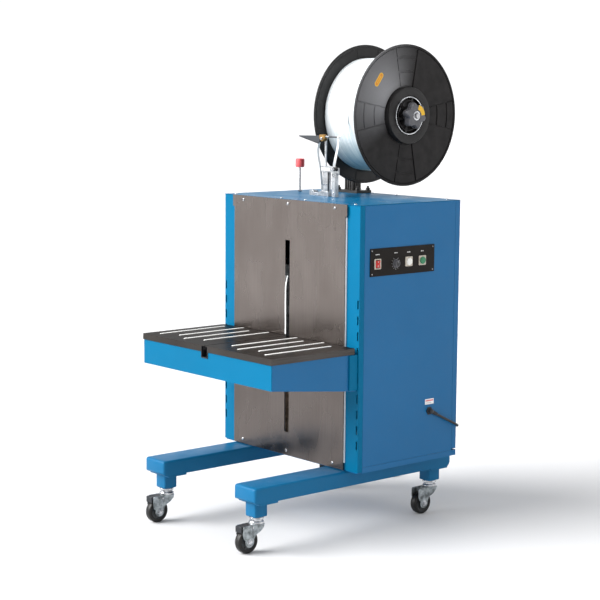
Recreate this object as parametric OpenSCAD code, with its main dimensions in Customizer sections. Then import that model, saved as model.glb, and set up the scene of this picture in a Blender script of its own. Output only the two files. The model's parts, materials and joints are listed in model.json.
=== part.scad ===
// Semi automatic strapping machine: a steel cabinet on four casters, with a sealing head behind
// the slot in its front plate, a hook-on loading table and a strap reel on top.
// +Z is up, +Y points to the rear and X = 0 is the machine's centre plane.
// The origin is on the floor, under the middle of the machine's outline.
// Depths (Y) below are measured from the front of the two posts; front_y moves them into place.

/* [Cabinet] */
// Outer width of the cabinet
cabinet_w = 680; // [670:1:690]
// Depth from the front of the posts to the back of the rear cover
cabinet_d = 445; // [444:0.5:446]
// Height of the top cover above the floor
cabinet_top = 1065; // [1062:1:1068]
// Height of the cabinet's underside
cabinet_bottom = 212; // [211:0.5:213]
// Width of each front post
post_w = 60; // [58:1:62]
// Thickness of the painted sheet steel
sheet = 2; // [1.5:0.25:2.5]
// Thickness of the front posts
post_t = 3; // [2.5:0.25:3.5]

/* [Table hook slots] */
// Number of slots in each post
slot_count = 10; // [8:1:10]
// Distance from one slot to the next
slot_pitch = 50; // [49:0.5:51]
// Height of the lowest slot's centre
slot_first = 303; // [300:1:306]
// Height of each slot
slot_h = 28; // [26:1:30]

/* [Front plate] */
// Width of the stainless front plate
plate_w = 558; // [552:1:562]
// How far the plate stands in front of the posts
plate_proud = 8; // [7:0.5:9]
// Thickness of the stainless plate
plate_t = 1.5; // [1:0.25:2]
// Width of the strap slot
strap_slot_w = 23; // [20:1:26]
// Bottom of the strap slot
strap_slot_low = 294; // [280:1:310]
// Top of the strap slot
strap_slot_high = 932; // [920:1:940]

/* [Legs and casters] */
// Width of each floor leg
leg_w = 104; // [100:1:108]
// Height of each floor leg
leg_h = 50; // [46:1:50]
// Sideways distance from the centre plane to the middle of a leg
leg_x = 236; // [232:1:240]
// Diameter of the caster wheels
wheel_d = 76; // [74:1:78]
// Width of the caster wheels
wheel_w = 26; // [24:1:28]
// Distance from the swivel axis to the wheel axle
caster_trail = 40; // [38:1:42]

/* [Table] */
// Width of the table over its steel lips
table_w = 666; // [662:1:668]
// Height of the table top, hooked at its middle setting
table_top = 617; // [615:1:619]
// Distance from the posts to the table's front edge
table_reach = 350; // [345:1:352]
// Gap between the two table plates
table_gap = 7; // [6:0.5:8]
// Height of the steel lip round the table plates
lip_h = 20; // [16:1:22]

/* [Reel] */
// Diameter of the reel flanges
flange_d = 474; // [460:2:476]
// Width of the strap coil between the flanges
coil_w = 190; // [188:1:190]
// Inner diameter of the strap coil
coil_id = 200; // [200:1:202]
// Outer diameter of the strap coil
coil_od = 384; // [344:5:404]
// Height of the reel axle
reel_z = 1335; // [1330:1:1340]

/* [Power cord] */
// Diameter of the power cord
cord_d = 8; // [7.5:0.25:8]
// Middle diameter of the coil of spare cord
cord_coil_d = 88; // [84:1:90]

/* [Hidden] */
$fn = 48;

front_y = -128;
half_w = cabinet_w / 2;
post_x = half_w - post_w;
body_z = cabinet_bottom + 4;
slip = 0.05;

blue = [0.10, 0.45, 0.70];
steel = [0.66, 0.64, 0.61];
zinc = [0.75, 0.77, 0.78];
dark = [0.15, 0.15, 0.15];
pale = [0.93, 0.93, 0.90];
brass = [0.62, 0.45, 0.20];
green = [0.10, 0.50, 0.28];
red = [0.78, 0.16, 0.18];
clear_gap = 0.3;

// ---- Helpers ---------------------------------------------------------------------------------

// Colours a piece and moves it from the posts' front face into the machine's frame.
module piece(colour) color(colour) translate([0, front_y, 0]) children();

// A box between two opposite corners.
module block(low, high) translate(low) cube(high - low);

// A shape and its mirror image on the other side of the centre plane.
module both_sides() {
    children();
    mirror([1, 0, 0]) children();
}

// A rod along X, from x0 to x1.
module rod_x(r, x0, x1, y, z) translate([x0, y, z]) rotate([0, 90, 0]) cylinder(r = r, h = x1 - x0);

// A rod along Y, from y0 to y1.
module rod_y(r, y0, y1, x, z) translate([x, y0, z]) rotate([-90, 0, 0]) cylinder(r = r, h = y1 - y0);

// A profile drawn as [y, z] points, extruded along X from x0 to x1.
module side_profile(x0, x1) translate([x0, 0, 0]) rotate([90, 0, 90]) linear_extrude(x1 - x0) children();

// A profile drawn as [x, z] points, extruded along Y from y0 to y1.
module front_profile(y0, y1) translate([0, y1, 0]) rotate([90, 0, 0]) linear_extrude(y1 - y0) children();

// A flat outline with round corners.
module round_rect(w, h, r) {
    square([w, h - 2 * r], center = true);
    square([w - 2 * r, h], center = true);
    for (sx = [-1, 1], sy = [-1, 1]) translate([sx * (w / 2 - r), sy * (h / 2 - r)]) circle(r);
}

// ---- Legs ------------------------------------------------------------------------------------

leg_front = -375;
leg_rear = 477;
leg_wall = 3;
leg_chamfer = 14;
leg_nose = 12;

// A folded channel with closed ends, open underneath between its two caster pads.
module leg() {
    low = cabinet_bottom - leg_h;
    difference() {
        side_profile(leg_x - leg_w / 2, leg_x + leg_w / 2) polygon([
            [leg_front, cabinet_bottom], [leg_rear, cabinet_bottom],
            [leg_rear, low + leg_chamfer], [leg_rear - leg_chamfer, low],
            [leg_front + leg_nose, low],
            for (a = [60 : -30 : 0])
                [leg_front + leg_nose - leg_nose * cos(a), low + leg_nose - leg_nose * sin(a)]
        ]);
        block([leg_x - leg_w / 2 + leg_wall, leg_front + leg_nose + leg_wall, low - 1],
              [leg_x + leg_w / 2 - leg_wall, leg_rear - leg_chamfer - leg_wall, cabinet_bottom - leg_wall]);
    }
}

module leg_left() piece(blue) mirror([1, 0, 0]) leg();
module leg_right() piece(blue) leg();

// ---- Caster posts and casters ------------------------------------------------------------------

caster_front_y = -327;
caster_rear_y = 428;
pad_t = 6;
stem_w = 50;
stem_low = 112;
race_r = 24;
crown_z = 90;
crown_t = 3;
fork_inner = wheel_w / 2 + 2.5;
fork_t = 2.5;
axle_r = 4;
stem_bore = 8;
lever_pin_r = 2.5;
lever_pivot_y = -28;
lever_pivot_z = 82;

module caster_posts() piece(blue) both_sides() {
    pad_high = cabinet_bottom - leg_h;
    for (y = [caster_front_y, caster_rear_y]) {
        toward_end = sign(y);
        difference() {
            block([leg_x - leg_w / 2, y - 46, pad_high - pad_t], [leg_x + leg_w / 2, y + 46, pad_high]);
            // Drilled at the two outer corners, where the pad is bolted to the leg.
            for (sx = [-1, 1]) translate([leg_x + sx * 40, y + toward_end * 34, pad_high - pad_t - 1])
                cylinder(r = 3.3, h = pad_t + 2);
        }
        difference() {
            translate([leg_x, y, stem_low]) linear_extrude(pad_high - pad_t - stem_low)
                round_rect(stem_w, stem_w, 4);
            translate([leg_x, y, stem_low - 1]) cylinder(r = stem_bore, h = 30);
        }
    }
}

// Outline of a fork cheek as [y, z] points from the swivel axis, without its round lower end.
fork_outline = [[18, 90], [-66, 90], [-66, 54], [-56, 38], [-24, 38], [18, 78]];

module caster_fork(x, y) piece(zinc) translate([x, y, 0]) {
    for (side = [-1, 1]) {
        inner = side > 0 ? fork_inner : -fork_inner - fork_t;
        side_profile(inner, inner + fork_t) {
            polygon(fork_outline);
            translate([-caster_trail, wheel_d / 2]) circle(16);
        }
    }
    block([-fork_inner - 1, -22, crown_z - crown_t], [fork_inner + 1, 18, crown_z]);
    rod_x(axle_r, -fork_inner - fork_t - 5, fork_inner + fork_t + 5, -caster_trail, wheel_d / 2);
    for (side = [-1, 1]) translate([side * (fork_inner + fork_t + 2.5), -caster_trail, wheel_d / 2])
        rotate([0, 90, 0]) cylinder(r = 8, h = 5, center = true, $fn = 6);
    translate([0, 0, crown_z - 1]) cylinder(r = race_r, h = 9);
    translate([0, 0, crown_z + 8]) cylinder(r = race_r - 6, h = 5);
    translate([0, 0, crown_z + 13]) cylinder(r = race_r - 1, h = stem_low - clear_gap - crown_z - 13);
    translate([0, 0, stem_low - 1]) cylinder(r = stem_bore - slip, h = 22);
    rod_x(lever_pin_r, -fork_inner - 1, fork_inner + 1, lever_pivot_y, lever_pivot_z);
}

module caster_wheel(x, y) piece(dark)
    translate([x, y - caster_trail, wheel_d / 2]) rotate([0, 90, 0]) rotate_extrude() {
        r = wheel_d / 2;
        half = wheel_w / 2;
        bore = axle_r + slip;
        difference() {
            union() {
                translate([bore, -half]) square([r - 4 - bore, wheel_w]);
                translate([r - 6, -half + 4]) square([6, wheel_w - 8]);
                for (side = [-1, 1]) translate([r - 4, side * (half - 4)]) circle(4);
            }
            // Recessed web between the hub and the tyre.
            for (side = [-1, 1]) translate([12, side > 0 ? half - 5 : -half - 5]) square([14, 10]);
        }
    }

// Pressed brake lever between the cheeks of a front caster's fork.
module brake_lever(x) piece(dark) translate([x, caster_front_y, 0]) {
    half = fork_inner - 0.4;
    block([-half, -71, 87.2], [half, -25.5, 89.2]);
    block([-half, -71, 70], [half, -69, 89.2]);
    for (side = [-1, 1]) difference() {
        translate([side * (half - 1), 0, 0]) side_profile(-1, 1) polygon([
            [-34, 88], [-23.5, 88], [-23.5, 79], [-34, 79]
        ]);
        rod_x(lever_pin_r + slip, -half - 1, half + 1, lever_pivot_y, lever_pivot_z);
    }
}

// ---- Cabinet -----------------------------------------------------------------------------------

side_front = 20.5;
side_rear = 423.5;
side_low = 231;
screw_x = 230;
screw_high = 1051;
screw_low = 232;
panel_low = 838.8;
panel_high = 927;
panel_front = 42.4;
panel_rear = 325.6;
control_z = 878;
rocker_y = 73;
dial_y = 153;
dial_z = 875;
white_y = 209.5;
green_y = 270;
gland_y = 316.5;
gland_z = 378;

// Bosses behind the front plate, on the flange that its screws go into.
module plate_bosses(z) for (x = [-screw_x, 0, screw_x])
    rod_y(7, -plate_proud + plate_t, 1, x, z);

module base_plate() piece(blue) {
    block([-half_w + post_t + 1, post_t, cabinet_bottom],
        [half_w - post_t - 1, cabinet_d - sheet - 1, body_z]);
    block([-post_x + 0.5, 0, cabinet_bottom], [post_x - 0.5, post_t, screw_low + 14]);
    both_sides()
        block([half_w - sheet, side_front + 0.5, cabinet_bottom], [half_w, cabinet_d, side_low - 0.5]);
    both_sides() block([half_w - 8, side_front + 0.5, cabinet_bottom], [half_w - 1, cabinet_d - 4, body_z]);
    block([-half_w, cabinet_d - sheet, cabinet_bottom], [half_w, cabinet_d, side_low - 0.5]);
    block([-half_w + 8, cabinet_d - 6, cabinet_bottom], [half_w - 8, cabinet_d - 1, body_z]);
    plate_bosses(screw_low);
}

slot_x = half_w - 6.5;
slot_w = 6;

// Folded post with a row of slots for the table's hooks.
module front_post() difference() {
    union() {
        block([post_x, 0, body_z], [half_w, post_t, cabinet_top - sheet]);
        block([half_w - post_t, 0, body_z], [half_w, 20, cabinet_top - sheet]);
        block([post_x, 0, body_z], [post_x + post_t, 30, cabinet_top - sheet]);
    }
    for (i = [0 : slot_count - 1])
        translate([slot_x, post_t / 2, slot_first + i * slot_pitch])
            cube([slot_w, post_t + 2, slot_h], center = true);
}

module post_left() piece(blue) mirror([1, 0, 0]) front_post();
module post_right() piece(blue) front_post();

return_high = cabinet_top - 38;

module front_plate() piece(steel) difference() {
    union() {
        block([-plate_w / 2, -plate_proud, body_z], [plate_w / 2, -plate_proud + plate_t, cabinet_top]);
        block([-plate_w / 2 - 8, -plate_proud, return_high],
            [plate_w / 2 + 8, -plate_proud + plate_t, cabinet_top]);
        both_sides() block([plate_w / 2 - plate_t, -plate_proud, body_z], [plate_w / 2, -1, return_high]);
    }
    block([-strap_slot_w / 2, -plate_proud - 1, strap_slot_low],
          [strap_slot_w / 2, -plate_proud + plate_t + 1, strap_slot_high]);
    for (x = [-screw_x, 0, screw_x], z = [screw_low, screw_high])
        rod_y(3.2, -plate_proud - 1, 0, x, z);
}

module top_cover() piece(blue) difference() {
    union() {
        block([-half_w, -1, cabinet_top - sheet], [half_w, cabinet_d, cabinet_top]);
        block([-post_x + 0.5, 0, screw_high - 13], [post_x - 0.5, sheet, cabinet_top]);
        plate_bosses(screw_high);
    }
    translate([chute_x, guide_y - 2, cabinet_top - 5]) linear_extrude(8) round_rect(12, 9.5, 3);
    translate([rod_x0, rod_y0, cabinet_top - 5]) cylinder(r = 6, h = 8);
}

module side_cover() {
    top = cabinet_top - sheet - 0.3;
    block([half_w - sheet, side_front, side_low], [half_w, side_rear, top]);
    block([half_w - 14, side_front, side_low], [half_w, side_front + sheet, top]);
    block([half_w - 14, side_rear - sheet, side_low], [half_w, side_rear, top]);
}

module side_cover_left() piece(blue) mirror([1, 0, 0]) side_cover();

module side_cover_right() piece(blue) difference() {
    side_cover();
    block([half_w - 5, panel_front + 18, panel_low + 12], [half_w + 1, panel_rear - 18, panel_high - 12]);
    rod_x(7, half_w - 5, half_w + 1, gland_y, gland_z);
}

module rear_cover() piece(blue) {
    top = cabinet_top - sheet - 0.3;
    low = side_low + 4;
    block([-half_w, cabinet_d - sheet, low], [half_w, cabinet_d, top]);
    both_sides() block([half_w - sheet, side_rear + 0.5, low], [half_w, cabinet_d, top]);
    block([-half_w, side_rear + 0.5, low], [half_w, cabinet_d, low + sheet]);
    block([-half_w, side_rear + 0.5, top - sheet], [half_w, cabinet_d, top]);
}

// Pan head screws: front plate, top cover and rear cover.
module cover_screws() piece(zinc) {
    for (x = [-screw_x, 0, screw_x], z = [screw_low, screw_high])
        rod_y(5.5, -plate_proud - 3, -plate_proud, x, z);
    for (x = [-300, -60, 60, 300], y = [16, 425])
        translate([x, y, cabinet_top]) cylinder(r = 5, h = 2.5);
    for (side = [-1, 1], z = [300, 660, 1000])
        rod_y(5, cabinet_d, cabinet_d + 2.5, side * 318, z);
}

// ---- Controls ------------------------------------------------------------------------------------

panel_t = 2.5;
panel_x = half_w + panel_t;
bezel_w = 31;
bezel_x = panel_x + 3;
button_r = 11.5;
rocker_pin_r = 1.5;
rocker_pin_x = half_w + 0.5;

module control_panel() piece(dark) difference() {
    block([half_w, panel_front, panel_low], [panel_x, panel_rear, panel_high]);
    for (y = [white_y, green_y]) rod_x(button_r + 1.5, half_w - 1, panel_x + 1, y, control_z);
    rod_x(4 + slip, half_w - 1, panel_x + 1, dial_y, dial_z);
    translate([half_w - 1, rocker_y - 12, control_z - 14]) cube([panel_t + 2, 24, 28]);
}

module control_bezels() piece(pale) {
    for (y = [white_y, green_y]) difference() {
        translate([panel_x, y, control_z]) rotate([90, 0, 90]) linear_extrude(bezel_x - panel_x)
            round_rect(bezel_w, bezel_w, 3);
        rod_x(button_r + clear_gap, panel_x - 1, bezel_x + 1, y, control_z);
    }
    difference() {
        translate([panel_x, rocker_y, control_z]) rotate([90, 0, 90]) linear_extrude(bezel_x - panel_x)
            round_rect(28, 33, 3);
        translate([panel_x - 1, rocker_y - 9.5, control_z - 13]) cube([6, 19, 26]);
    }
    // Two ears behind the rocker's bezel, which its pivot pin turns in.
    for (side = [-1, 1]) difference() {
        translate([panel_x - 5, rocker_y + side * 10.4 - 0.9, control_z - 4]) cube([5.5, 1.8, 8]);
        rod_y(rocker_pin_r + slip, rocker_y + side * 10.4 - 2, rocker_y + side * 10.4 + 2,
            rocker_pin_x, control_z);
    }
}

// The rocker's face is a wide V, so that one end stands proud.
module rocker_profile() polygon([
    [-10, panel_x - 8], [10, panel_x - 8], [11, panel_x + 5.4], [0, panel_x + 3.4], [-11, panel_x + 5.4]
]);

module power_rocker() piece(red) {
    translate([0, rocker_y + 8.5, control_z]) rotate([90, 0, 0]) linear_extrude(17)
        rotate(90) mirror([0, 1]) rocker_profile();
    rod_y(rocker_pin_r, rocker_y - 11.2, rocker_y + 11.2, rocker_pin_x, control_z);
}

module feed_dial() piece(dark) {
    rod_x(4, half_w - 12, panel_x + 4, dial_y, dial_z);
    difference() {
        rod_x(14, panel_x + 0.4, panel_x + 3, dial_y, dial_z);
        // Pointer notch in the skirt.
        translate([panel_x + 3, dial_y, dial_z + 12]) cube([2, 1.4, 5], center = true);
    }
    difference() {
        rod_x(10.5, panel_x + 0.4, panel_x + 11, dial_y, dial_z);
        for (a = [0 : 30 : 330]) translate([panel_x + 4, dial_y, dial_z]) rotate([a, 0, 0])
            translate([0, 11, 0]) rotate([0, 90, 0]) cylinder(r = 1.4, h = 8);
    }
}

module push_button(y) {
    rod_x(button_r, panel_x - 1, panel_x + 7, y, control_z);
    rod_x(6, half_w - 14, panel_x, y, control_z);
}

module white_button() piece(pale) push_button(white_y);
module green_button() piece(green) push_button(green_y);

// ---- Power cord ----------------------------------------------------------------------------------

cord_r = cord_d / 2;
gland_x = half_w + 8;
gland_dir = [0, 0.896, -0.444];
gland_len = 34;

module cable_gland() piece(dark) {
    rod_x(14, half_w, half_w + 4, gland_y, gland_z);
    rod_x(6.5, half_w - 8, half_w + 1, gland_y, gland_z);
    translate([gland_x, gland_y, gland_z]) sphere(8.4);
    translate([gland_x, gland_y, gland_z]) rotate([-90 - 26.34, 0, 0]) {
        cylinder(r1 = 8, r2 = 5.6, h = gland_len);
        for (z = [10, 17, 24]) translate([0, 0, z]) cylinder(r = 7.8 - z * 0.06, h = 2.4);
    }
}

// The cord's route, as [x, y, z] points in the machine's own frame.
cord_route = [
    [348, 219, 363], [348, 232, 356.5], [349, 254, 345], [351, 275, 334], [354, 297, 323],
    [352, 309, 318], [346, 320, 313], [336, 328, 309], [322, 331, 306], [296, 328, 304],
    [270, 324, 303], [255, 323, 302], [236, 323, 301], [190, 323, 297], [140, 323, 296], [90, 323, 298],
    [40, 323, 301], [0, 323, 302], [-40, 323, 301], [-90, 323, 298], [-140, 323, 296],
    [-190, 323, 297], [-236, 323, 301], [-255, 323, 302], [-274, 323, 301.5], [-292, 323, 298],
    [-310, 323, 287],
    [-321, 323, 270], [-325, 323, 248], [-325, 323, 200], [-325, 323, 140], [-325, 323, 90],
    [-325, 324, 60], [-325, 328, 38], [-325, 338, 20], [-325, 355, 8], [-326, 376, 4.2],
    [-328, 400, 4.2], [-329, 425, 4.2], [-330, 447, 4.2]
];
cord_tail = [
    [-286, 495, 12], [-272, 496, 10], [-258, 500, 7], [-246, 506, 5], [-236, 513, 4.5], [-228, 520, 4.5]
];
coil_centre = [-286, 447];
coil_layers = 3;

function unit(v) = v / norm(v);
function heading(points, i) =
    unit(points[min(i + 1, len(points) - 1)] - points[max(i - 1, 0)]);
// A ring of points round the route, square to its heading.
function ring(points, i, r, sides) =
    let (d = heading(points, i), up = abs(d[2]) > 0.9 ? [0, 1, 0] : [0, 0, 1],
         side = unit(cross(d, up)), top = cross(side, d))
    [for (k = [0 : sides - 1]) points[i] + r * (cos(360 * k / sides) * side + sin(360 * k / sides) * top)];

// Catmull-Rom blend between the hand-set points.
function blend(a, b, c, d, t) =
    0.5 * ((2 * b) + (c - a) * t + (2 * a - 5 * b + 4 * c - d) * t * t + (3 * b - a - 3 * c + d) * t * t * t);
function smooth(points, steps) = let (n = len(points)) [
    for (i = [0 : n - 2], s = [0 : steps - 1])
        blend(points[max(i - 1, 0)], points[i], points[i + 1], points[min(i + 2, n - 1)], s / steps),
    points[n - 1]
];

module tube(points, r, sides = 8) {
    n = len(points);
    polyhedron(
        points = [for (i = [0 : n - 1]) each ring(points, i, r, sides)],
        faces = [
            [for (k = [0 : sides - 1]) k],
            [for (k = [sides - 1 : -1 : 0]) (n - 1) * sides + k],
            for (i = [0 : n - 2], k = [0 : sides - 1])
                let (a = i * sides + k, b = i * sides + (k + 1) % sides)
                each [[a, a + sides, b + sides], [a, b + sides, b]]
        ]);
}

module power_cord() color(dark) {
    tube(smooth(cord_route, 2), cord_r);
    tube(cord_tail, cord_r);
}

module cord_coil() color(dark)
    translate([coil_centre[0], coil_centre[1], 0]) rotate_extrude()
        translate([cord_coil_d / 2 - cord_d, 0.2]) square([2 * cord_d, coil_layers * cord_d]);

plug_angle = 45;

module cord_plug() color(dark)
    translate([-228, 520, 0.2]) rotate([0, 0, plug_angle]) {
        translate([0, -6, 0]) cube([14, 12, 11]);
        difference() {
            translate([12, -13, 0]) cube([26, 26, 22]);
            for (side = [-1, 1]) translate([11, side * 13, 11]) rotate([0, 90, 0]) cylinder(r = 2, h = 20);
        }
        for (side = [-1, 1]) translate([36, side * 7 - 3, 13]) rotate([side * 30, 0, 0]) cube([19, 6.3, 1.6]);
        translate([36, -0.8, 3]) cube([19, 1.6, 6.3]);
    }

clip_x = [255, 0, -255];
clip_z = 302;
clip_gap = 0.3;

// Loops screwed to the rear cover, each with the cord through it.
module cord_clips() piece(dark) for (x = clip_x) difference() {
    union() {
        rod_x(cord_r + 2, x - 6, x + 6, cabinet_d + 6, clip_z);
        block([x - 6, cabinet_d, clip_z - 2], [x + 6, cabinet_d + 2, clip_z + 18]);
        block([x - 6, cabinet_d, clip_z + 2], [x + 6, cabinet_d + 6, clip_z + 6]);
        rod_y(4, cabinet_d, cabinet_d + 4, x, clip_z + 13);
    }
    rod_x(cord_r + clip_gap, x - 7, x + 7, cabinet_d + 6, clip_z);
}

// ---- Table ---------------------------------------------------------------------------------------

table_half = table_w / 2;
table_back = -11;
plate_sheet = 2;
apron_low = 518;
side_back_low = 478;
side_out = table_half - plate_sheet - 0.3;
hook_w = 4.6;
hook_neck = 12;
lift = 12;
notch_half = 17;
notch_low = 577;

module table_plates() piece(steel) both_sides() {
    x0 = table_gap / 2;
    low = table_top - lip_h;
    block([x0, -table_reach, table_top - plate_sheet], [table_half, table_back, table_top]);
    block([notch_half, -table_reach, low], [table_half, -table_reach + plate_sheet, table_top]);
    block([table_half - plate_sheet, -table_reach, low], [table_half, table_back, table_top]);
}

module table_apron() piece(blue) difference() {
    block([-side_out, -table_reach + plate_sheet + 0.3, apron_low],
          [side_out, -table_reach + plate_sheet + 2.8, table_top - plate_sheet]);
    block([-notch_half, -table_reach, notch_low], [notch_half, -table_reach + 10, table_top]);
}

module table_side() side_profile(side_out - 2.5, side_out) polygon([
    [-table_reach + plate_sheet + 2.8, apron_low], [-1, side_back_low],
    [-1, table_top - lip_h - 1], [table_back - 1, table_top - lip_h - 1],
    [table_back - 1, table_top - plate_sheet],
    [-table_reach + plate_sheet + 2.8, table_top - plate_sheet]
]);

module table_side_left() piece(blue) mirror([1, 0, 0]) table_side();
module table_side_right() piece(blue) table_side();

// Rear channel with the hook plates that hang in the posts' slots.
module table_rear_rail() piece(blue) {
    rail_low = side_back_low + 14;
    difference() {
        block([-side_out + 2.5, table_back - 5, rail_low],
              [side_out - 2.5, table_back - 2.5, table_top - plate_sheet]);
        block([-notch_half, table_back - 6, notch_low], [notch_half, table_back, table_top]);
    }
    both_sides() {
        block([side_out, -34, side_back_low + 6], [slot_x + hook_w / 2, -1, table_top - lip_h - 1]);
        for (i = [4, 5]) {
            seat = slot_first + i * slot_pitch - slot_h / 2;
            block([slot_x - hook_w / 2, -2, seat + 0.2], [slot_x + hook_w / 2, post_t + 6, seat + hook_neck]);
            block([slot_x - hook_w / 2, post_t + 0.6, seat - 9],
                [slot_x + hook_w / 2, post_t + 6, seat + hook_neck]);
        }
    }
}

strip_w = 8;
strip_len = 272;
strip_t = 2;
strip_x = [-284, -218, -152, -86, 60, 126, 192, 260];
strip_forward = [1, 0, 1, 0, 0, 1, 0, 1];

module glide_strips() piece(pale) for (i = [0 : 7]) {
    y = strip_forward[i] ? -316 : -286;
    translate([strip_x[i], y + strip_len / 2, table_top]) linear_extrude(strip_t)
        round_rect(strip_w, strip_len, strip_w / 2 - 0.5);
}

// Open channel under the gap, through which the strap is passed round a package.
module strap_channel() piece(dark) difference() {
    block([-notch_half, -table_reach, notch_low], [notch_half, table_back, table_top - plate_sheet - 0.3]);
    block([-notch_half + 2.5, -table_reach - 1, notch_low + 2.5],
        [notch_half - 2.5, table_back + 1, table_top]);
}

// ---- Reel ----------------------------------------------------------------------------------------

reel_y = 424;
flange_t = 6;
reel_half = coil_w / 2 + flange_t;
axle_rad = 10;
drum_wall = 5;
knob_front = 155;

// Shapes turned round the reel's axle; u is the radius and v the distance along +X.
module turned() translate([0, reel_y, reel_z]) rotate([0, 90, 0]) rotate_extrude() children();

module ring_area(r0, r1, x0, x1) translate([r0, x0]) square([r1 - r0, x1 - x0]);

module reel_flange_near() piece(dark) turned() {
    x0 = coil_w / 2;
    ring_area(20, flange_d / 2 - 3, x0, x0 + 3.5);
    ring_area(flange_d / 2 - 7, flange_d / 2 - 3.5, x0, x0 + flange_t);
    translate([flange_d / 2 - 3.5, x0 + 3.5]) circle(3.5);
    ring_area(84, 95, x0, x0 + 24);
    ring_area(60, 95, x0 + 20, x0 + 24);
    ring_area(60, 64, x0, x0 + 24);
    ring_area(20, 30, x0, x0 + 26);
}

module reel_flange_far() piece(dark) turned() {
    x0 = -coil_w / 2;
    ring_area(20, flange_d / 2 - 3, x0 - 3.5, x0);
    translate([flange_d / 2 - 3.5, x0 - 3.5]) circle(3.5);
    ring_area(60, 95, x0 - flange_t, x0);
}

module reel_core() piece(dark) turned() {
    half = coil_w / 2 - 0.2;
    ring_area(coil_id / 2 - drum_wall - 0.3, coil_id / 2 - 0.3, -half, half);
    ring_area(axle_rad + slip, 18, -half - 8, half + 30);
    for (x = [-half + 10, half - 14]) ring_area(17, coil_id / 2 - drum_wall, x, x + 4);
}

module strap_coil() piece(pale) turned()
    ring_area(coil_id / 2, coil_od / 2, -coil_w / 2 + 0.5, coil_w / 2 - 0.5);

// Lobed hub nut that clamps the near flange to the core.
module reel_knob() piece(zinc) difference() {
    union() {
        rod_x(30, coil_w / 2 + 30, knob_front - 14, reel_y, reel_z);
        rod_x(36, coil_w / 2 + 34, knob_front - 2, reel_y, reel_z);
        for (a = [0 : 60 : 300]) translate([coil_w / 2 + 34, reel_y, reel_z]) rotate([a, 0, 0])
            translate([0, 32, 0]) rotate([0, 90, 0]) cylinder(r = 12, h = knob_front - coil_w / 2 - 36);
    }
    rod_x(axle_rad + 0.5, coil_w / 2, knob_front + 1, reel_y, reel_z);
}

module reel_axle() piece(steel) {
    rod_x(axle_rad, -189, knob_front - 4, reel_y, reel_z);
    rod_x(16, -139.5, -coil_w / 2 - 9, reel_y, reel_z);
    translate([knob_front - 4, reel_y, reel_z]) rotate([0, 90, 0]) cylinder(r = 9, h = 8, $fn = 6);
}

column_x = -160;
column_w = 40;

module reel_stand() piece(dark) {
    high = reel_z + 30;
    difference() {
        translate([column_x, reel_y, cabinet_top]) linear_extrude(high - cabinet_top) difference() {
            square([column_w, column_w], center = true);
            // Upright grooves on every face.
            for (a = [0 : 90 : 270], k = [-1, 0, 1]) rotate(a)
                translate([column_w / 2, k * 11]) square([5, 5], center = true);
        }
        rod_x(axle_rad + slip, column_x - column_w, column_x + column_w, reel_y, reel_z);
    }
    difference() {
        block([-195, 374, cabinet_top], [-85, cabinet_d - 2, cabinet_top + 8]);
        for (x = [-188, -92], y = [384, 433]) translate([x, y, cabinet_top - 1]) cylinder(r = 4.5, h = 10);
    }
    // Studs with hexagon nuts.
    for (x = [-188, -92], y = [384, 433]) translate([x, y, cabinet_top + 8]) {
        cylinder(r = 10, h = 1.6);
        cylinder(r = 7.5, h = 8, $fn = 6);
        cylinder(r = 4, h = 15);
    }
}

// ---- Strap guide on the top -----------------------------------------------------------------------

guide_y = 190;
pivot_x = -46;
pivot_z = 1258;
roller_x = 15;
roller_z = 1158;
head_z = 1146;
pin_r = 3;
chute_x = 10;

module strap_bracket() piece(zinc) {
    // Base block, with a cross hole near its end.
    difference() {
        block([-121, guide_y, cabinet_top], [-26, guide_y + 20, cabinet_top + 16]);
        rod_y(5, guide_y - 1, guide_y + 21, -42, cabinet_top + 8);
        block([-100, guide_y - 1, cabinet_top + 10], [-70, guide_y + 21, cabinet_top + 17]);
    }
    // Left upright and the head block on it.
    block([-58, guide_y + 4, cabinet_top + 14], [-30, guide_y + 8, head_z + 1]);
    block([-34, guide_y + 4, cabinet_top + 14], [-30, guide_y + 16, head_z + 1]);
    difference() {
        block([-62, guide_y - 2, head_z], [-4, guide_y + 16, head_z + 20]);
        block([-58, guide_y - 3, head_z + 5], [-12, guide_y + 10, head_z + 15]);
    }
    block([-6, guide_y + 1, head_z - 8], [24, guide_y + 6, roller_z + 4]);
    rod_y(pin_r, guide_y - 14, guide_y + 2, roller_x, roller_z);
    // Post that carries the arm's pivot pin.
    front_profile(guide_y + 4, guide_y + 8) union() {
        translate([pivot_x - 4, head_z + 18]) square([8, pivot_z - head_z - 18]);
        translate([pivot_x, pivot_z]) circle(7);
    }
    rod_y(pin_r, guide_y - 14, guide_y + 5, pivot_x, pivot_z);
    // Chute that leads the strap down through the top cover.
    difference() {
        block([chute_x - 9, guide_y - 9, cabinet_top], [chute_x + 9, guide_y + 6, head_z - 1]);
        block([chute_x - 6.5, guide_y - 7, cabinet_top - 1], [chute_x + 6.5, guide_y + 7, head_z - 8]);
        block([chute_x - 5, guide_y - 7, head_z - 10], [chute_x + 5, guide_y, head_z]);
    }
}

// Tapered arm with a spring rod, both on the brass hub.
module guide_arm() piece(dark) {
    front_profile(guide_y - 10, guide_y - 6) polygon([
        [-166, pivot_z + 7], [-166, pivot_z + 3], [-70, pivot_z - 18], [-60, pivot_z - 10], [-60, pivot_z + 9]
    ]);
    rod_x(2.8, -32, 30, guide_y - 8, pivot_z + 6);
    translate([32, guide_y - 8, pivot_z + 6]) sphere(5);
}

module arm_hub() piece(brass) difference() {
    union() {
        rod_y(10, guide_y - 13, guide_y + 3.5, pivot_x, pivot_z);
        block([-60, guide_y - 12, pivot_z - 2], [-32, guide_y - 4, pivot_z + 13]);
    }
    rod_y(pin_r + slip, guide_y - 14, guide_y + 4, pivot_x, pivot_z);
}

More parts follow.
